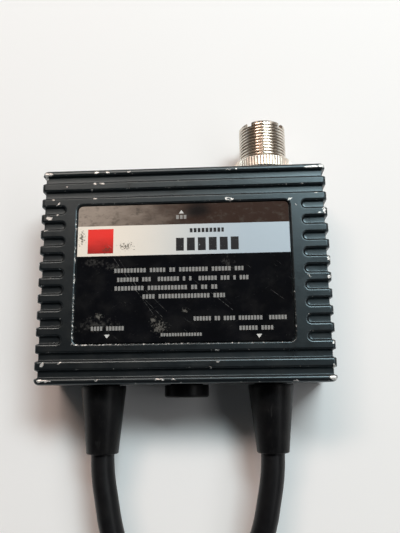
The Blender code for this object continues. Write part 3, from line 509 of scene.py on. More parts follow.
for side, plug_place in PLUG_PLACES.items():
    body = turned(side + "_plug_shell", softened([
        (7.5, PLUG_FACE, 0.4), (7.5, PLUG_COLLAR, 0.15), (6.0, PLUG_COLLAR, 0.2), (6.0, 16.9, 0.2),
        (5.75, 16.5, 0.15), (5.75, 15.9, 0.15), (6.0, 15.5, 0.2), (6.0, 10.6, 0.2), (5.75, 10.2, 0.15),
        (5.75, 9.6, 0.15), (6.0, 9.2, 0.2), (6.0, 5.0, 0.4), (5.3, 4.5, 0.3), (5.3, 3.6, 0.1),
        (5.05, 3.4, 0.1), (5.05, 2.9, 0.1), (5.3, 2.7, 0.1), (5.3, 2.2, 0.1), (5.05, 2.0, 0.1),
        (5.05, 1.5, 0.1), (5.3, 1.3, 0.1), (5.3, 0.0, 0.35), (3.8, 0.0, 0.25), (3.8, 2.0, 0.0),
        (0.0, 2.0, 0.0), (0.0, 9.7, 0.0), (2.28, 9.7, 0.0), (2.28, 20.0, 0.0), (5.0, 20.0, 0.0),
        (5.0, PLUG_FACE, 0.25),
    ]), 64)
    for quarter in range(4):
        hole = rod(1.45, 5.2, 7.0, sides=24)
        only(hole)
        hole.rotation_euler = (math.pi / 2, 0, math.pi / 4 + quarter * math.pi / 2)
        hole.location = (0, 0, 13.1 * MM)
        bpy.ops.object.transform_apply(location=True, rotation=True, scale=True)
        carve(body, hole)
    smooth(body)
    stand(body, TOWARDS_LEADS, plug_place)
    wear(body, nickel_look)

    washer = turned(side + "_plug_washer", softened([
        (4.7, 27.3, 0.2), (4.7, 20.3, 0.1), (2.28, 20.3, 0.1), (2.28, 26.6, 0.2), (3.1, 27.3, 0.3),
    ]), 48)
    smooth(washer)
    stand(washer, TOWARDS_LEADS, plug_place)
    wear(washer, insulator_look)

    pin = turned(side + "_plug_contact", softened([
        (0.0, 42.55, 0.0), (0.55, 42.55, 0.0), (0.75, 42.95, 0.1), (1.1, 43.0, 0.15), (1.98, 41.4, 0.7),
        (1.98, 10.0, 0.2), (0.0, 10.0, 0.0),
    ]), 40)
    smooth(pin, 50)
    stand(pin, TOWARDS_LEADS, plug_place)
    wear(pin, brass_look)

    sleeve = turned(side + "_sleeve", softened([
        (SLEEVE_RADIUS, SLEEVE_MOUTH, 0.5), (SLEEVE_RADIUS, SLEEVE_MOUTH - 1.4, 0.0),
        (SLEEVE_RADIUS, SLEEVE_MOUTH - 1.8, 0.0), (SLEEVE_RADIUS, SLEEVE_BASE + 0.9, 0.0),
        (SLEEVE_RADIUS, SLEEVE_BASE, 0.5), (6.3, SLEEVE_BASE, 0.2),
        (6.3, SLEEVE_BASE + 3.2, 0.1), (8.25, SLEEVE_BASE + 3.2, 0.0),
        *reversed(rows(8.25, SLEEVE_MOUTH - 0.8, SLEEVE_BASE + 4.2, 100)), (8.6, SLEEVE_MOUTH, 0.1),
    ]), SLEEVE_TEETH * 6)
    cut_thread(sleeve, 8.25, -0.3, SLEEVE_MOUTH - 0.8, SLEEVE_BASE + 4.2)
    cut_teeth(sleeve, SLEEVE_RADIUS, 0.35, SLEEVE_TEETH, SLEEVE_BASE + 0.5, SLEEVE_MOUTH - 1.4)
    smooth(sleeve, 30)
    stand(sleeve, TOWARDS_LEADS, plug_place)
    wear(sleeve, nickel_look)

    for piece, cad_node, slot in (
        (body, "_plug_body", "nickel_plate"), (washer, "_plug_insulator", "insulator"),
        (pin, "_plug_pin", "contact_brass"), (sleeve, "_coupling", "nickel_plate"),
    ):
        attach(piece, side + "_sleeve" if piece == sleeve else "case")
        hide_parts(side + cad_node)


# Boots and the blank plug. Black rubber, moulded in one piece with a neck through the wall and a collar
# behind it. The boots taper to a mouth that grips the jacket; the blank closes the third hole.
PORT_HEIGHT = 12.5
LEAD_PLACE = 26.8
WALL_FACE = -34.35

boot_look, shader, place = new_look("moulded_rubber", specular_ior_level=0.18)
mottle = speckle(place, 0.35, 5.0)
rub = rise(speckle(stretched(place, (1.2, 0.3, 1.2)), 1.0, 4.0), 0.60, 0.75)
colour = mixed(mottle, (0.0025, 0.0025, 0.003), (0.006, 0.006, 0.0065))
colour = mixed(rub * 0.3, colour, (0.03, 0.03, 0.03))
lint = effect(dust, place, Amount=0.1, Grain=1.7)["Mask"]
give(
    shader,
    base_color=mixed(lint, colour, (0.16, 0.15, 0.14)),
    roughness=between(mottle, 0.28, 0.45) + rub * 0.2,
    normal=raised(speckle(place, 1.8, 3.0), 0.06, 0.5),
)

for side, sign in (("left", -1), ("right", 1)):
    boot = turned(side + "_boot_moulding", softened([
        (5.0, 21.2, 0.45), (7.1, 1.4, 0.2), (7.1, 0.3, 0.25), (5.2, 0.3, 0.0), (5.2, -3.3, 0.0),
        (7.2, -3.3, 0.3), (7.2, -5.3, 0.3), (0.0, -5.3, 0.0), (0.0, 18.9, 0.0), (3.76, 18.9, 0.0),
        (3.76, 21.2, 0.3),
    ], 4), 64)
    smooth(boot, 40)
    stand(boot, TOWARDS_LEADS, (sign * LEAD_PLACE, WALL_FACE, PORT_HEIGHT))
    wear(boot, boot_look)
    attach(boot, "case")
    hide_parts(side + "_boot")

blank = turned("blank_moulding", softened([
    (0.0, 3.5, 0.0), (1.1, 3.5, 0.2), (1.5, 4.2, 0.3), (7.1, 4.2, 0.8), (7.1, 0.3, 0.2), (5.2, 0.3, 0.0),
    (5.2, -3.3, 0.0), (7.2, -3.3, 0.3), (7.2, -5.3, 0.3), (0.0, -5.3, 0.0),
], 4), 64)
smooth(blank, 40)
stand(blank, TOWARDS_LEADS, (0, WALL_FACE, PORT_HEIGHT))
wear(blank, boot_look)
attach(blank, "case")
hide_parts("blank_plug")


# Case. One die-cast tub with ribs round it: thirteen grooves run down both sides, four of them right
# across the face and nine ending in round-nosed slots beside the label's recess. It is painted in a
# dark satin enamel that has worn through to bright metal at corners, rib ends and edges.
HALF_WIDTH = 45.7
HALF_LENGTH = 34.35
FACE = 26.0
BASE = 2.3
CAVITY_X, CAVITY_Y, CAVITY_TOP = 42.7, 31.35, 23.0
BOSS_X, BOSS_Y = 39.7, 28.35
PILLAR_X, PILLAR_Y = 33.5, 21.15
GROOVE_PITCH = 5.2
GROOVE_BEND = 1.45
SIDE_RELIEF = 0.25
SLOT_NOSE = 37.7
RECESS_X = 33.9
RECESS_Y = 22.25
RECESS_FLOOR = 24.7
RECESS_CORNER = 1.8
SOCKET_PLACE = 26.95
GROOVE_HALF = [
    (0, 1.0), (1.95, 1.0), (1.95, 0.03), (1.76, -0.013), (1.60, -0.05), (1.46, -0.11), (1.31, -0.24),
    (1.22, -0.42), (1.06, -0.88), (1.00, -1.01), (0.89, -1.11), (0.74, -1.15), (0, -1.15),
]


def round_edges(piece, wanted, radius, steps):
    """Bevels the edges whose two ends, in millimetres, pass a test."""
    only(piece)
    bpy.ops.object.mode_set(mode="EDIT")
    bpy.ops.mesh.select_mode(type="EDGE")
    bpy.ops.mesh.select_all(action="DESELECT")
    work = bmesh.from_edit_mesh(piece.data)
    for edge in work.edges:
        if wanted(*(vert.co / MM for vert in edge.verts)):
            edge.select_set(True)
    bmesh.update_edit_mesh(piece.data)
    bpy.ops.mesh.bevel(offset=radius * MM, segments=steps, affect="EDGES")
    bpy.ops.object.mode_set(mode="OBJECT")


def upright(a, b):
    return abs(a.z - b.z) > max(abs(a.x - b.x), abs(a.y - b.y))


def groove_tool(start, round_nose):
    """The cutter for half a groove, from x = start along the face, over the bend and down the side."""
    bpy.ops.object.select_all(action="DESELECT")
    section = GROOVE_HALF + [(-y, z) for y, z in reversed(GROOVE_HALF[1:-1])]
    bpy.ops.mesh.primitive_circle_add(vertices=len(section), radius=MM, fill_type="NGON")
    tool = bpy.context.object
    for vert, (y, z) in zip(tool.data.vertices, section):
        vert.co = Vector((start, y, FACE + z)) * MM
    bend = Vector((HALF_WIDTH + SIDE_RELIEF - GROOVE_BEND, 0, FACE - GROOVE_BEND))
    bpy.ops.object.mode_set(mode="EDIT")
    bpy.ops.mesh.select_mode(type="FACE")
    bpy.ops.mesh.select_all(action="SELECT")
    bpy.ops.mesh.extrude_region_move(TRANSFORM_OT_translate={"value": ((bend.x - start) * MM, 0, 0)})
    bpy.ops.mesh.spin(steps=5, angle=math.pi / 2, center=bend * MM, axis=(0, -1, 0))
    bpy.ops.mesh.extrude_region_move(TRANSFORM_OT_translate={"value": (0, 0, -FACE * MM)})
    if round_nose:
        work = bmesh.from_edit_mesh(tool.data)
        at_start = [face for face in work.faces if all(abs(v.co.x / MM - start) < 0.001 for v in face.verts)]
        bmesh.ops.delete(work, geom=at_start, context="FACES_ONLY")
        bpy.ops.mesh.select_mode(type="EDGE")
        bpy.ops.mesh.select_all(action="DESELECT")
        for edge in work.edges:
            upper = all(vert.co.y > -0.001 * MM for vert in edge.verts)
            edge.select_set(upper and all(abs(vert.co.x / MM - start) < 0.001 for vert in edge.verts))
        bmesh.update_edit_mesh(tool.data)
        bpy.ops.mesh.spin(steps=12, angle=math.pi, center=(start * MM, 0, 0), axis=(0, 0, -1))
    tidy_edit()
    return tool


def repeated(tool, offsets):
    """One tool made of copies of another, moved along Y by the given offsets."""
    copies = []
    for offset in offsets:
        only(tool)
        bpy.ops.object.duplicate()
        copies.append(bpy.context.object)
        copies[-1].data.transform(Matrix.Translation((0, offset * MM, 0)))
    bpy.data.objects.remove(tool)
    for one in copies:
        one.select_set(True)
    bpy.context.view_layer.objects.active = copies[0]
    bpy.ops.object.join()
    return copies[0]


def mirrored(tool):
    """A copy of a tool on the case's other side."""
    only(tool)
    bpy.ops.object.duplicate()
    twin = bpy.context.object
    twin.data.transform(Matrix.Diagonal((-1, 1, 1, 1)))
    twin.data.flip_normals()
    return twin


def end_rod(x, end, radius, depth=6.0):
    """A cutter through an end wall, level with the ports."""
    tool = rod(radius, -depth / 2, depth / 2, sides=64)
    stand(tool, TOWARDS_LEADS, (x, end * (HALF_LENGTH - 1.5), PORT_HEIGHT))
    return tool


case = block((-HALF_WIDTH, -HALF_LENGTH, BASE), (HALF_WIDTH, HALF_LENGTH, FACE))
case.name = case.data.name = "case_casting"
round_edges(case, upright, 1.6, 5)
round_edges(case, lambda a, b: min(a.z, b.z) > FACE - 0.01, 1.0, 4)
hollow = block((-CAVITY_X, -CAVITY_Y, BASE - 1), (CAVITY_X, CAVITY_Y, CAVITY_TOP))
round_edges(hollow, upright, 3.0, 4)
carve(case, hollow)
for x in (-1, 1):
    for y in (-1, 1):
        boss, pillar = (BOSS_X * x, BOSS_Y * y), (PILLAR_X * x, PILLAR_Y * y)
        carve(case, rod(3.5, BASE, CAVITY_TOP + 0.5, boss), "UNION")
        carve(case, rod(1.8, BASE - 1, 9.75, boss))
        carve(case, rod(2.8, 19.0, CAVITY_TOP + 0.5, pillar), "UNION")
        carve(case, rod(1.55, 18.0, 22.3, pillar))

across = repeated(groove_tool(-2.0, False), [row * GROOVE_PITCH for row in (-6, -5, 5, 6)])
slots = repeated(groove_tool(SLOT_NOSE + 1.25, True), [row * GROOVE_PITCH for row in range(-4, 5)])
for tool in (mirrored(across), across, mirrored(slots), slots):
    carve(case, tool)

recess = block((-RECESS_X, -RECESS_Y, RECESS_FLOOR), (RECESS_X, RECESS_Y, FACE - 0.45))
round_edges(recess, upright, RECESS_CORNER, 8)
only(recess)
bpy.ops.object.mode_set(mode="EDIT")
bpy.ops.mesh.select_mode(type="FACE")
for rise_by, spread in ((0.17, 0.05), (0.13, 0.10), (0.12, 0.22), (0.08, 0.40), (0.9, 0.1)):
    bpy.ops.mesh.select_all(action="DESELECT")
    work = bmesh.from_edit_mesh(recess.data)
    lid = max(work.faces, key=lambda face: face.calc_center_median().z)
    lid.select_set(True)
    bmesh.update_edit_mesh(recess.data)
    bpy.ops.mesh.extrude_region_move(TRANSFORM_OT_translate={"value": (0, 0, rise_by * MM)})
    work = bmesh.from_edit_mesh(recess.data)
    for vert in max(work.faces, key=lambda face: face.calc_center_median().z).verts:
        core_x = max(RECESS_CORNER - RECESS_X, min(RECESS_X - RECESS_CORNER, vert.co.x / MM))
        core_y = max(RECESS_CORNER - RECESS_Y, min(RECESS_Y - RECESS_CORNER, vert.co.y / MM))
        out = Vector((vert.co.x / MM - core_x, vert.co.y / MM - core_y, 0)).normalized()
        vert.co += out * spread * MM
    bmesh.update_edit_mesh(recess.data)
tidy_edit()
carve(case, recess)
for x in (-LEAD_PLACE, 0, LEAD_PLACE):
    carve(case, end_rod(x, -1, 5.5))
carve(case, end_rod(SOCKET_PLACE, 1, 8.24))
smooth(case, 38)
weighted = case.modifiers.new("even_faces", "WEIGHTED_NORMAL")
weighted.keep_sharp = True
bpy.ops.object.modifier_apply(modifier=weighted.name)

# The paint's look. Wear follows the case's own edges, worked out from the place on it, and the larger
# chips are at the places where the photograph shows them: (x, y, half length, half width, turn).
CHIPS = [
    (-44.0, 33.1, 1.9, 0.5, 0), (-44.4, 32.4, 0.6, 0.8, 0), (-27.9, 33.3, 0.8, 0.35, 10),
    (-24.4, 33.2, 0.7, 0.25, -20), (-17.4, 33.2, 0.5, 0.2, 0), (-28.4, 29.5, 0.55, 0.35, 20),
    (-26.0, 29.5, 0.9, 0.3, -8), (-28.2, 24.4, 0.5, 0.22, 0), (-41.8, 24.3, 0.45, 0.22, 0),
    (-40.2, 22.8, 0.8, 0.18, 40), (-42.9, 18.1, 1.0, 0.5, -6), (-40.2, 19.2, 0.4, 0.2, 0),
    (-43.7, 14.1, 0.8, 0.18, 20), (-37.6, 28.6, 0.3, 0.22, 0), (-29.4, 27.4, 0.25, 0.3, 0),
    (14.9, 33.0, 0.9, 0.22, 0), (17.4, 33.1, 0.3, 0.2, 0), (41.5, 33.1, 2.6, 0.35, 2),
    (44.6, 33.2, 0.9, 0.6, -10), (44.6, 18.4, 0.45, 1.1, 5), (43.2, 17.7, 0.8, 0.15, 0),
    (45.1, 2.9, 0.5, 0.7, 0), (44.9, -2.8, 0.6, 0.6, 0),
    (38.9, -2.3, 0.8, 0.12, -50), (34.1, 22.5, 0.9, 0.2, 25), (35.9, 20.6, 0.22, 0.2, 0),
    (44.4, -33.2, 1.1, 0.75, -15), (44.8, -29.8, 0.35, 0.8, 10), (45.0, -22.9, 0.3, 0.5, 0),
    (-43.1, -28.2, 0.5, 0.85, -25), (-41.9, -33.1, 1.9, 0.3, 0), (-43.8, -33.1, 0.7, 0.5, 0),
    (-37.7, -27.7, 0.7, 0.22, 30), (-7.1, -33.0, 1.4, 0.2, 0), (-3.0, -33.1, 0.8, 0.2, 0),
    (-26.2, -33.1, 0.5, 0.18, 20), (33.3, -33.8, 0.8, 0.2, 0), (10.2, -24.6, 0.7, 0.25, -10),
    (10.4, -28.0, 0.5, 0.25, 0), (8.1, -29.9, 0.2, 0.4, 0), (38.1, 27.6, 0.35, 0.22, 0),
    (33.2, 27.5, 0.35, 0.22, 0), (42.4, 24.3, 0.5, 0.2, 0),
]
OUTLINED_CHIP = (14.8, 23.0, 1.3, 0.55, -12)
RIB_EDGE = 1.45
RIM_MIDDLE = 0.2

PAINT_TINT = (0.73, 0.92, 1.0, 1)
paint_look, shader, place = new_look("case_enamel", specular_ior_level=0.75, specular_tint=PAINT_TINT)
jitter = vector("SUBTRACT", speckle(place, 1.5, 4.0, 0.65, "Color"), (0.5, 0.5, 0.5))
rough_place = vector("ADD", stretched(jitter, (1.5, 1.5, 1.5)), place)
coords = split(place)

out_x, out_y = abs(coords[0]), abs(coords[1])
from_side, from_end, from_face = HALF_WIDTH - out_x, HALF_LENGTH - out_y, FACE - coords[2]
from_edge = most(least(from_side, from_end), least(most(from_side, from_end), from_face))
patchy = speckle(place, 0.5, 5.0, 0.7)
edge_wear = rise(patchy - from_edge * 0.35, 0.48, 0.53)

row = calc("FRACT", (coords[1] + GROOVE_PITCH * 10.5) / GROOVE_PITCH)
from_crest = abs(abs(row - 0.5) * GROOVE_PITCH - RIB_EDGE)
on_rib = rise(from_crest, 0.30, 0.12) * rise(from_face, 0.5, 0.25)
on_rib = on_rib * most(above(out_x, SLOT_NOSE), above(out_y, 4.5 * GROOVE_PITCH))
nicks = rise(speckle(stretched(place, (0.7, 1.6, 1.6)), 1.0, 5.0, 0.75), 0.635, 0.66) * on_rib

along_y = rise(abs(out_x - (RECESS_X + RIM_MIDDLE)), 0.30, 0.12) * below(out_y, RECESS_Y + 2 * RIM_MIDDLE)
along_x = rise(abs(out_y - (RECESS_Y + RIM_MIDDLE)), 0.30, 0.12) * below(out_x, RECESS_X + 2 * RIM_MIDDLE)
rim = most(along_y, along_x)
rim_side = (coords[0] + coords[1] * 1.5) * 0.0012
rim_bits = rise(speckle(place, 1.3, 4.0, 0.75) - rim_side, 0.585, 0.64)
rim = rim * (rim_bits * rise(from_face, 0.9, 0.6))


def chip_field(x, y, half_length, half_width, turn):
    """How far the torn place lies from a chip's middle: 1 on its outline."""
    inputs = {"Vector": rough_place, "Center": (x, y, 0), "Angle": -math.radians(turn)}
    flat = stretched(node("ShaderNodeVectorRotate", inputs), (1, 1, 0))
    scaled = stretched(vector("SUBTRACT", flat, (x, y, 0)), (1 / half_length, 1 / half_width, 0))
    return vector("LENGTH", scaled, output="Value")


on_top = below(from_face, 2.2)
placed = rise(least(*(chip_field(*chip) for chip in CHIPS)), 1.05, 0.9) * on_top
placed = placed * rise(speckle(place, 3.2, 4.0, 0.7), 0.38, 0.46)
ring = rise(abs(chip_field(*OUTLINED_CHIP) - 0.8), 0.28, 0.16) * on_top
bare = most(edge_wear, nicks, placed, rim, ring)

cast = speckle(place, 0.10, 4.0)
peel = speckle(place, 1.7, 2.0)
drawn = speckle(stretched(place, (0.03, 2.6, 2.6)), 1.0, 4.0, 0.65)
paint = mixed(cast, (0.0030, 0.0036, 0.0042), (0.0056, 0.0064, 0.0076))
paint = mixed(rise(drawn, 0.62, 0.78), paint, (0.026, 0.029, 0.031))
handled = rise(speckle(place, 0.22, 5.0, 0.6), 0.50, 0.72)
grime = effect(dust, place, Amount=0.22, Grain=1.6)["Mask"]
paint = mixed(grime, paint, (0.11, 0.105, 0.095))
metal = mixed(speckle(place, 2.0, 4.0), (0.62, 0.60, 0.57), (0.88, 0.87, 0.84))
bump = raised(peel + drawn * 0.7, 0.02, 0.5)
bump = raised(1.0 - bare, 0.06, 0.8, bump)
give(
    shader,
    base_color=mixed(bare, paint, metal),
    metallic=bare * 0.6,
    roughness=between(bare, 0.32 - handled * 0.05, 0.36),
    normal=bump,
)
wear(case, paint_look)
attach(case, "case")
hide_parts("housing")


# Back cover. A flat 2 mm plate in the same paint, held by four countersunk steel screws with a cross
# recess. The screws run up into the case's corner bosses.
cover = block((-44.8, -HALF_LENGTH, 0), (44.8, HALF_LENGTH, 2.0))
cover.name = cover.data.name = "cover_plate"
round_edges(cover, upright, 1.6, 6)
round_edges(cover, lambda a, b: abs(a.z - b.z) < 0.01 and a.z < 0.01, 0.25, 2)
BOSSES = [(-BOSS_X, -BOSS_Y), (BOSS_X, -BOSS_Y), (BOSS_X, BOSS_Y), (-BOSS_X, BOSS_Y)]
for x, y in BOSSES:
    sink = turned("sink", [(0, 3.0), (1.8, 3.0), (1.8, 1.7), (3.35, 0.15), (3.35, -1.0), (0, -1.0)], 48)
    stand(sink, 0, (x, y, 0))
    carve(cover, sink)
smooth(cover, 12)
plate_look = paint_look.copy()
plate_look.name = "cover_enamel"
wear(cover, plate_look)
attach(cover, "case")
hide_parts("back_cover")

steel_look, shader, place = new_look("screw_steel", metallic=1.0)
plate = effect(plating, place, Tarnish=0.6, Scratch=0.8)
zinc = mixed(speckle(place, 1.2, 4.0), (0.36, 0.36, 0.36), (0.52, 0.52, 0.50))
give(
    shader,
    base_color=mixed(0.3, zinc, plate["Colour"]),
    roughness=plate["Roughness"] + 0.12,
    normal=raised(plate["Height"], 0.03, 0.5),
)
SHANK_RADIUS = 1.5
SHANK_TOP, SHANK_BASE = 8.6, 2.2
SCREW_PITCH = 0.7
screw = turned("cover_screw", softened([
    (0.0, 9.15, 0.0), (1.1, 9.15, 0.1), (SHANK_RADIUS, 8.8, 0.1),
    *rows(SHANK_RADIUS, SHANK_TOP, SHANK_BASE, 90), (SHANK_RADIUS, 1.9, 0.1),
    (2.9, 0.3, 0.05), (2.9, 0.15, 0.04), (0.0, 0.15, 0.0),
]), 36)
for vert in screw.data.vertices:
    x, y, z = vert.co / MM
    if abs(math.hypot(x, y) - SHANK_RADIUS) < 0.02 and SHANK_BASE <= z <= SHANK_TOP:
        sunk = 1 - 0.16 * (1 - wave(z / SCREW_PITCH - math.atan2(y, x) / math.tau))
        vert.co.x *= sunk
        vert.co.y *= sunk
for wide, deep in ((1.6, 0.45), (0.45, 1.6)):
    drive = block((-wide, -deep, -1.0), (wide, deep, 1.05))
    for vert in drive.data.vertices:
        if vert.co.z > 0:
            vert.co.x *= 0.55
            vert.co.y *= 0.8 if deep < wide else 0.55
    carve(screw, drive)
smooth(screw, 40)
for index, (x, y) in enumerate(BOSSES):
    only(screw)
    bpy.ops.object.duplicate()
    fixed = bpy.context.object
    fixed.name = fixed.data.name = "cover_fixing_%d" % (index + 1)
    turn = Matrix.Rotation(math.radians(20 * index), 4, "Z")
    fixed.data.transform(Matrix.Translation((x * MM, y * MM, 0)) @ turn)
    wear(fixed, steel_look)
    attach(fixed, "case")
    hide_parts("cover_screw_%d" % (index + 1))
bpy.data.objects.remove(screw)


# Label. A thin glossy film plate glued in the recess, printed in fields: a brown band at the socket's
# end, a silver band with a red square, and black below. Rows of small blocks stand for its print, and
# it is scratched, smudged and dusty from use. Across the brown and silver bands a painted reflection
# makes the colour paler and warmer at the left.
LABEL_CORNER = (33.6, 21.95, 25.4)
LABEL_BASE = 25.0
SILVER_BASE, SILVER_TOP = 5.35, 15.2
label = block((-LABEL_CORNER[0], -LABEL_CORNER[1], LABEL_BASE), LABEL_CORNER)
label.name = label.data.name = "label_film"
round_edges(label, upright, 1.5, 8)
round_edges(label, lambda a, b: min(a.z, b.z) > LABEL_CORNER[2] - 0.01, 0.08, 2)
smooth(label, 12)

ROW_SIZES = ("Left", "Right", "Middle", "Height", "Block", "Gaps")
printed, entry, leaving = new_effect(
    "printed_row", ["Mask"], Left=0.0, Right=10.0, Middle=0.0, Height=1.5, Block=1.0, Gaps=0.15, Row=0.0
)
across_x, up_y, _ = split(entry["Place"])
run = (across_x - entry["Left"]) / entry["Block"]
key = node("ShaderNodeCombineXYZ", {0: calc("FLOOR", run), 1: entry["Row"], 2: 0.5})
filled = below(abs(calc("FRACT", run) - 0.46), 0.36)
word = above(node("ShaderNodeTexWhiteNoise", {"Vector": key}, "Value"), entry["Gaps"])
in_length = above(across_x, entry["Left"]) * below(across_x, entry["Right"])
in_height = below(abs(up_y - entry["Middle"]), entry["Height"] * 0.5)
give(leaving, mask=filled * word * in_length * in_height)

label_look, shader, place = new_look("label_print", specular_ior_level=0.5)
across_x, up_y, _ = split(place)
haze = speckle(place, 0.09, 4.0)
smear = speckle(stretched(place, (0.12, 0.28, 0.2)), 1.0, 5.0, 0.65)
grain = speckle(place, 5.0, 2.0)

# The brown band is painted pale taupe at the left, fading to dark brown at the right: a painted reflection.
brown = mixed(rise(across_x + smear * 30.0, -20.0, 22.0), (0.33, 0.27, 0.225), (0.040, 0.024, 0.019))
from_smudge = vector("DISTANCE", stretched(place, (0.17, 0.26, 0)), (0.80, 5.12, 0), "Value")
smudge = rise(from_smudge + smear * 0.9, 1.5, 0.6)
clouds = rise(speckle(stretched(place, (0.30, 0.42, 0)), 1.0, 6.0, 0.7), 0.50, 0.66)
brown = mixed(clouds * 0.6, brown, (0.075, 0.062, 0.052))
brown = mixed(smudge, brown, (0.012, 0.010, 0.010))

# The silver band is painted warm cream at the left and cool blue-grey at the right: a painted reflection of
# the warm and cool light.
silver = mixed(rise(across_x, -26.0, 22.0), (0.97, 0.88, 0.76), (0.47, 0.57, 0.65))
silver = mixed(grain * 0.25, silver, (0.35, 0.36, 0.36))
silver_band = above(up_y, SILVER_BASE) * below(up_y, SILVER_TOP)
brown_band = above(up_y, SILVER_TOP)
black = mixed(haze, (0.002, 0.002, 0.0022), (0.0045, 0.005, 0.007))

RED_SQUARE = (-30.3, -22.1, 6.2, 14.2)
left, right, low, high = RED_SQUARE
in_square = above(across_x, left) * below(across_x, right) * (above(up_y, low) * below(up_y, high))
# The red is darker towards the bottom of the square and brighter towards its top.
red = mixed(rise(up_y + smear * 5.0, 8.0, 15.5), (0.34, 0.015, 0.012), (0.82, 0.038, 0.030))


def row_of(rows_wanted):
    """Where any of several printed rows lies: (left, right, middle, height, block, gaps)."""
    return most(*(
        effect(printed, place, Row=float(index), **dict(zip(ROW_SIZES, sizes)))["Mask"]
        for index, sizes in enumerate(rows_wanted)
    ))


def triangle(x, apex, direction, height, half_base):
    """A small solid triangle that points up or down the label."""
    down = (apex - up_y) * float(direction)
    return below(abs(across_x - x), down * (half_base / height)) * below(down, height)


pale_print = row_of([
    (-21.7, 18.8, 0.55, 1.35, 1.02, 0.12), (-22.68, 21.1, -2.35, 1.35, 0.98, 0.16),
    (-21.5, 10.7, -5.1, 1.35, 1.04, 0.12), (-12.7, 12.9, -7.8, 1.35, 1.0, 0.14),
    (3.1, 31.7, -14.9, 1.3, 0.92, 0.14), (-28.6, -18.3, -17.5, 1.3, 0.95, 0.06),
    (17.0, 29.1, -18.0, 1.3, 0.95, 0.06), (-7.0, 6.3, -19.7, 0.95, 0.85, 0.14),
    (-2.2, 1.5, 17.6, 1.3, 1.2, 0.0),
])
TRIANGLES = [(-0.4, 19.9, 1, 1.15, 0.8), (-23.5, -20.6, -1, 1.2, 0.85), (23.0, -21.1, -1, 1.2, 0.85)]
pale_print = most(pale_print * 0.42, most(*(triangle(*sizes) for sizes in TRIANGLES)))
dark_print = row_of([(-2.5, 18.2, 8.65, 4.2, 3.45, 0.0), (2.1, 13.0, 13.1, 1.4, 1.25, 0.0)])

scratch_place, second_place = (
    node("ShaderNodeVectorRotate", {"Vector": place, "Angle": math.radians(angle)}) for angle in (38, -27)
)
coarse = rise(speckle(stretched(scratch_place, (0.10, 3.4, 1)), 1.0, 3.0, 0.6), 0.70, 0.76)
finer = rise(speckle(stretched(second_place, (0.16, 4.2, 1)), 1.0, 3.0, 0.6), 0.70, 0.78)
wiped = rise(speckle(place, 0.20, 5.0, 0.7), 0.58, 0.78)
lint = effect(dust, place, Amount=0.12, Grain=1.5)["Mask"]
worn_print = rise(speckle(place, 2.2, 3.0, 0.7), 0.72, 0.66)

# Marks of use, at the places where the photograph shows them: (x, y, half x, half y), or a scratch's ends.
SMUDGES = [(-7.2, -17.4, 1.9, 1.9), (-9.3, -15.2, 1.0, 1.1), (-26.0, -13.9, 1.0, 0.9), (0.4, -12.3, 0.8, 0.6)]
FILMS = [(-27.5, 3.4, 3.6, 1.7), (-22.0, 1.9, 2.6, 1.0), (-26.5, -16.2, 6.0, 2.2), (13.8, 1.6, 2.2, 3.0)]
SCRATCHES = [
    (-21.9, 4.6, -16.4, -3.1), (-20.2, 4.2, -14.4, -4.6), (-15.4, -5.2, -6.4, -14.3),
    (-11.7, -5.8, -5.1, -12.5),
    (-18.0, -1.0, -9.0, -13.6), (8.6, -6.9, 15.2, -12.4),
]
SPECK_CLUSTERS = [(-17.8, 8.4, 2.6, 1.3), (-32.3, 11.4, 1.2, 2.6), (-24.4, 7.4, 1.3, 1.4)]


def patch(clusters, scale, low, high):
    """Grains that gather round a few places and thin out away from them."""
    away = least(*(
        vector("DISTANCE", stretched(place, (1 / long, 1 / wide, 0)), (x / long, y / wide, 0), "Value")
        for x, y, long, wide in clusters
    ))
    return rise(speckle(place, scale, 4.0, 0.7) - away * 0.16, low, high)


def scored(x, y, end_x, end_y):
    """A straight hairline scratch between two points."""
    run = Vector((end_x - x, end_y - y, 0))
    way = run.normalized()
    offset = vector("SUBTRACT", place, (x, y, 0))
    along = vector("DOT_PRODUCT", offset, tuple(way), "Value")
    aside = abs(vector("DOT_PRODUCT", offset, (-way.y, way.x, 0), "Value"))
    return rise(aside, 0.09, 0.02) * below(abs(along - run.length / 2), run.length / 2)


hairlines = most(*(scored(*ends) for ends in SCRATCHES)) * rise(speckle(place, 0.9, 4.0, 0.7), 0.38, 0.60)
scratches = most(coarse, finer * 0.6, hairlines)

smudged = patch(SMUDGES, 1.6, 0.34, 0.50)
filmed = patch(FILMS, 0.9, 0.34, 0.62)
dirty = patch(SPECK_CLUSTERS, 2.0, 0.41, 0.46)

colour = black
for share, layer in (
    (brown_band, brown), (silver_band, silver), (in_square, red),
    (pale_print * worn_print, (0.60, 0.60, 0.58)), (dark_print * worn_print, (0.018, 0.018, 0.020)),
    (dirty * 0.85, (0.05, 0.045, 0.03)), (smudged * 0.35, (0.30, 0.29, 0.26)),
    (filmed * 0.13, (0.30, 0.29, 0.27)), (scratches * 0.22, (0.30, 0.30, 0.29)),
    (lint * 0.5, (0.30, 0.29, 0.27)),
):
    colour = mixed(share, colour, layer)
give(
    shader,
    base_color=colour,
    metallic=calc("SUBTRACT", silver_band, in_square, clamp=True) * 0.1,
    roughness=most(0.10 + wiped * 0.10 + scratches * 0.3, silver_band * 0.24),
    normal=raised(speckle(place, 0.35, 3.0) - scratches * 0.25, 0.05, 0.25),
)
wear(label, label_look)
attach(label, "case")
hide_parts("label_plate")


# Socket. A nickel-plated barrel with a 5/8 in thread, 24 turns to the inch, and a rim with four keying
# notches. A washer and a knurled ring nut clamp it in the wall. Inside are an insulator and a slotted
# spring contact, whose stem reaches the feed strap.
SOCKET_RIM = 18.4
BARREL_RADIUS = 7.9375
SOCKET_AT = (SOCKET_PLACE, HALF_LENGTH, PORT_HEIGHT)

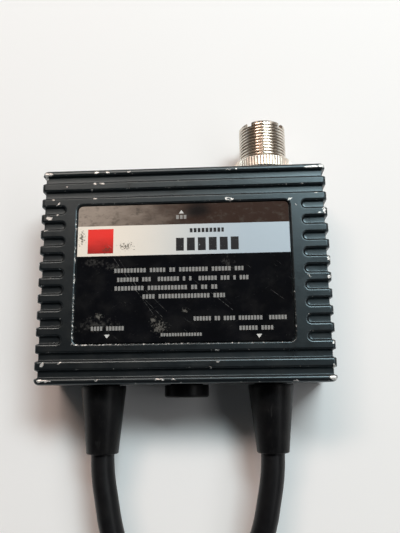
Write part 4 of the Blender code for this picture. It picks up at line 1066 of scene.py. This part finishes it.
thread_look, shader, place = new_look("threaded_nickel", metallic=1.0)
plate = effect(plating, place, Tarnish=0.35, Scratch=0.4)
from_axis = vector("DISTANCE", stretched(place, (1, 0, 1)), (SOCKET_PLACE, 0, PORT_HEIGHT), "Value")
# The thread's roots are coloured darker and browner than its crests.
darker_roots = rise(from_axis, BARREL_RADIUS - 0.10, BARREL_RADIUS - 0.32) * above(from_axis, 7.2)
give(
    shader,
    base_color=mixed(darker_roots * 0.7, plate["Colour"], (0.09, 0.055, 0.035)),
    roughness=plate["Roughness"] + darker_roots * 0.25,
    normal=raised(plate["Height"], 0.003, 0.2),
)

THREAD_TOP, THREAD_BASE = SOCKET_RIM - 0.65, 1.2
barrel = turned("threaded_barrel", softened([
    (6.4, SOCKET_RIM, 0.12), (7.35, SOCKET_RIM, 0.12), (BARREL_RADIUS, SOCKET_RIM - 0.6, 0.0),
    *rows(BARREL_RADIUS, THREAD_TOP, THREAD_BASE, 220), (BARREL_RADIUS, -3.3, 0.0), (9.14, -3.3, 0.2),
    (9.14, -5.8, 0.4), (4.0, -5.8, 0.2), (4.0, 3.9, 0.0), (6.4, 3.9, 0.0),
]), 96)
cut_thread(barrel, BARREL_RADIUS, 0.5, THREAD_TOP, THREAD_BASE, 0.5)
for angle in (-38, 52, 142, 232):
    notch = block((-1.2, 5.2, SOCKET_RIM - 1.6), (1.2, 9.0, SOCKET_RIM + 1))
    notch.data.transform(Matrix.Rotation(math.radians(angle), 4, "Z"))
    carve(barrel, notch)
smooth(barrel, 75)
stand(barrel, TOWARDS_SOCKET, SOCKET_AT)
wear(barrel, thread_look)
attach(barrel, "case")
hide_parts("socket_body")

bush = turned("stepped_insulator", softened([
    (6.1, 9.4, 0.3), (6.1, 4.2, 0.1), (3.7, 4.2, 0.0), (3.7, -5.8, 0.2), (1.8, -5.8, 0.1), (1.8, 5.9, 0.0),
    (2.95, 5.9, 0.0), (2.95, 9.4, 0.2),
]), 64)
smooth(bush)
stand(bush, TOWARDS_SOCKET, SOCKET_AT)
wear(bush, insulator_look)
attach(bush, "case")
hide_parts("socket_insulator")

contact = turned("spring_contact", softened([
    (0.0, 7.7, 0.0), (2.0, 7.7, 0.1), (2.0, 16.85, 0.0), (2.25, 17.2, 0.1), (2.65, 16.95, 0.15),
    (2.65, 6.2, 0.1), (1.5, 6.2, 0.1), (1.5, -14.8, 0.2), (0.0, -14.8, 0.0),
]), 48)
for turn in (45, 135):
    slit = block((-4, -0.25, 10.2), (4, 0.25, 18.0))
    slit.data.transform(Matrix.Rotation(math.radians(turn), 4, "Z"))
    carve(contact, slit)
smooth(contact, 40)
stand(contact, TOWARDS_SOCKET, SOCKET_AT)
wear(contact, brass_look)
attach(contact, "case")
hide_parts("socket_contact")

gasket = turned("sealing_washer", softened([
    (9.5, 1.3, 0.3), (9.5, 0.3, 0.3), (8.24, 0.3, 0.1), (8.24, 1.3, 0.1),
]), 72)
smooth(gasket)
stand(gasket, TOWARDS_SOCKET, SOCKET_AT)
wear(gasket, boot_look)
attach(gasket, "case")
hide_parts("socket_gasket")

dull_nickel, shader, place = new_look("dull_nickel", metallic=0.75)
plate = effect(plating, place, Tarnish=0.15, Scratch=0.5)
give(
    shader,
    base_color=plate["Colour"],
    roughness=plate["Roughness"] + 0.18,
    normal=raised(plate["Height"], 0.006, 0.3),
)

NUT_TEETH = 60
nut = turned("knurled_nut", softened([
    (9.45, 5.2, 0.1), (9.9, 4.8, 0.1), (9.9, 4.6, 0.0), (9.9, 2.0, 0.0), (9.9, 1.7, 0.1), (9.6, 1.4, 0.1),
    (8.24, 1.4, 0.0), (8.24, 5.2, 0.2),
]), NUT_TEETH * 6)
cut_teeth(nut, 9.9, 0.4, NUT_TEETH, 1.4, 5.2, 0.5, 5.0)
smooth(nut, 40)
stand(nut, TOWARDS_SOCKET, SOCKET_AT)
wear(nut, dull_nickel)
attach(nut, "case")
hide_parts("socket_ring_nut")


# Inside. The board, its screws, the wound coils, the capacitors, the feed strap and the stripped lead
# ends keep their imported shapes. Each kind gets its own material.
board_look, shader, place = new_look("solder_mask", roughness=0.35)
weave = node("ShaderNodeTexBrick", {"Vector": place, "Scale": 1.6, "Mortar Size": 0.04}, "Fac")
mask_green = mixed(speckle(place, 0.15, 4.0), (0.008, 0.075, 0.028), (0.014, 0.11, 0.042))
give(
    shader,
    base_color=mixed(weave * 0.4, mask_green, (0.03, 0.16, 0.07)),
    roughness=between(speckle(place, 0.6), 0.28, 0.45),
    normal=raised(weave, 0.02, 0.4),
)

copper_look, shader, place = new_look("enamelled_copper", metallic=0.9, coat_weight=0.4)
drawn = speckle(stretched(place, (1, 1, 0.3)), 1.2, 4.0)
give(
    shader,
    base_color=mixed(drawn, (0.48, 0.16, 0.055), (0.66, 0.27, 0.11)),
    roughness=between(drawn, 0.22, 0.38),
    normal=raised(speckle(place, 3.0), 0.02, 0.3),
)

disc_look, shader, place = new_look("dipped_disc", roughness=0.3, coat_weight=0.5)
dip = speckle(place, 0.5, 4.0)
give(
    shader,
    base_color=mixed(dip, (0.010, 0.055, 0.22), (0.018, 0.085, 0.31)),
    roughness=between(dip, 0.22, 0.40),
    normal=raised(speckle(place, 0.8, 3.0), 0.15, 0.5),
)

INNER_LOOKS = {
    "circuit_board": board_look, "board_screw": steel_look, "low_pass_coil": copper_look,
    "high_pass_coil": copper_look, "low_pass_capacitor": disc_look, "high_pass_capacitor": disc_look,
    "feed_link": brass_look, "left_lead_core": insulator_look, "right_lead_core": insulator_look,
    "left_lead_conductor": copper_look, "right_lead_conductor": copper_look,
    "left_lead_braid": nickel_look, "right_lead_braid": nickel_look,
}
for name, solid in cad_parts.items():
    for start, look in INNER_LOOKS.items():
        if name.startswith(start):
            wear(solid, look)


# Stage and light. A pale floor, a cool lamp like a window beyond the case's right shoulder, a warmer and
# weaker one beyond its left, a faint strip along its right side, and a sky that is dim overhead, so that
# the label stays black, and pale at the horizon.
bpy.ops.mesh.primitive_plane_add(size=6)
floor = bpy.context.object
floor.name = floor.data.name = "floor"
floor_look, shader, place = new_look("pale_floor", roughness=0.9, specular_ior_level=0.1)
give(shader, base_color=mixed(speckle(place, 0.004), (0.84, 0.84, 0.84), (0.87, 0.87, 0.87)))
wear(floor, floor_look)


def lamp(name, place, size, height, power, colour):
    """A flat rectangular lamp that faces the case."""
    light = bpy.data.lights.new(name, "AREA")
    light.shape = "RECTANGLE"
    light.size = size
    light.size_y = height
    light.energy = power
    light.color = colour
    stand_in = bpy.data.objects.new(name, light)
    bpy.context.scene.collection.objects.link(stand_in)
    aim = (Vector((0, 0, 0.02)) - Vector(place)).to_track_quat("-Z", "Y").to_matrix().to_4x4()
    stand_in.matrix_world = Matrix.Translation(place) @ aim


lamp("window", (0.36, 0.56, 0.93), size=0.60, height=0.25, power=9.7, colour=(0.84, 0.97, 1.0))
lamp("doorway", (-0.25, 0.68, 0.90), size=0.60, height=0.20, power=5.1, colour=(1.0, 0.76, 0.66))
lamp("strip", (0.62, 0.10, 0.72), size=1.4, height=0.27, power=1.9, colour=(1.0, 1.0, 1.0))

sky = bpy.data.worlds.new("sky")
bpy.context.scene.world = sky
sky.use_nodes = True
towards = split(node("ShaderNodeTexCoord", {}, "Generated", sky.node_tree))
glow = mixed(rise(towards[2], 0.55, 0.15), (0.02, 0.021, 0.022), (0.09, 0.095, 0.10))
glow = mixed(rise(towards[1], 0.24, 0.50), glow, (0.27, 0.20, 0.14))
glow = mixed(rise(towards[2], 0.34, 0.02), glow, (0.66, 0.67, 0.68))
give(sky.node_tree.nodes["Background"], color=glow)

bpy.context.scene.view_settings.view_transform = "Standard"
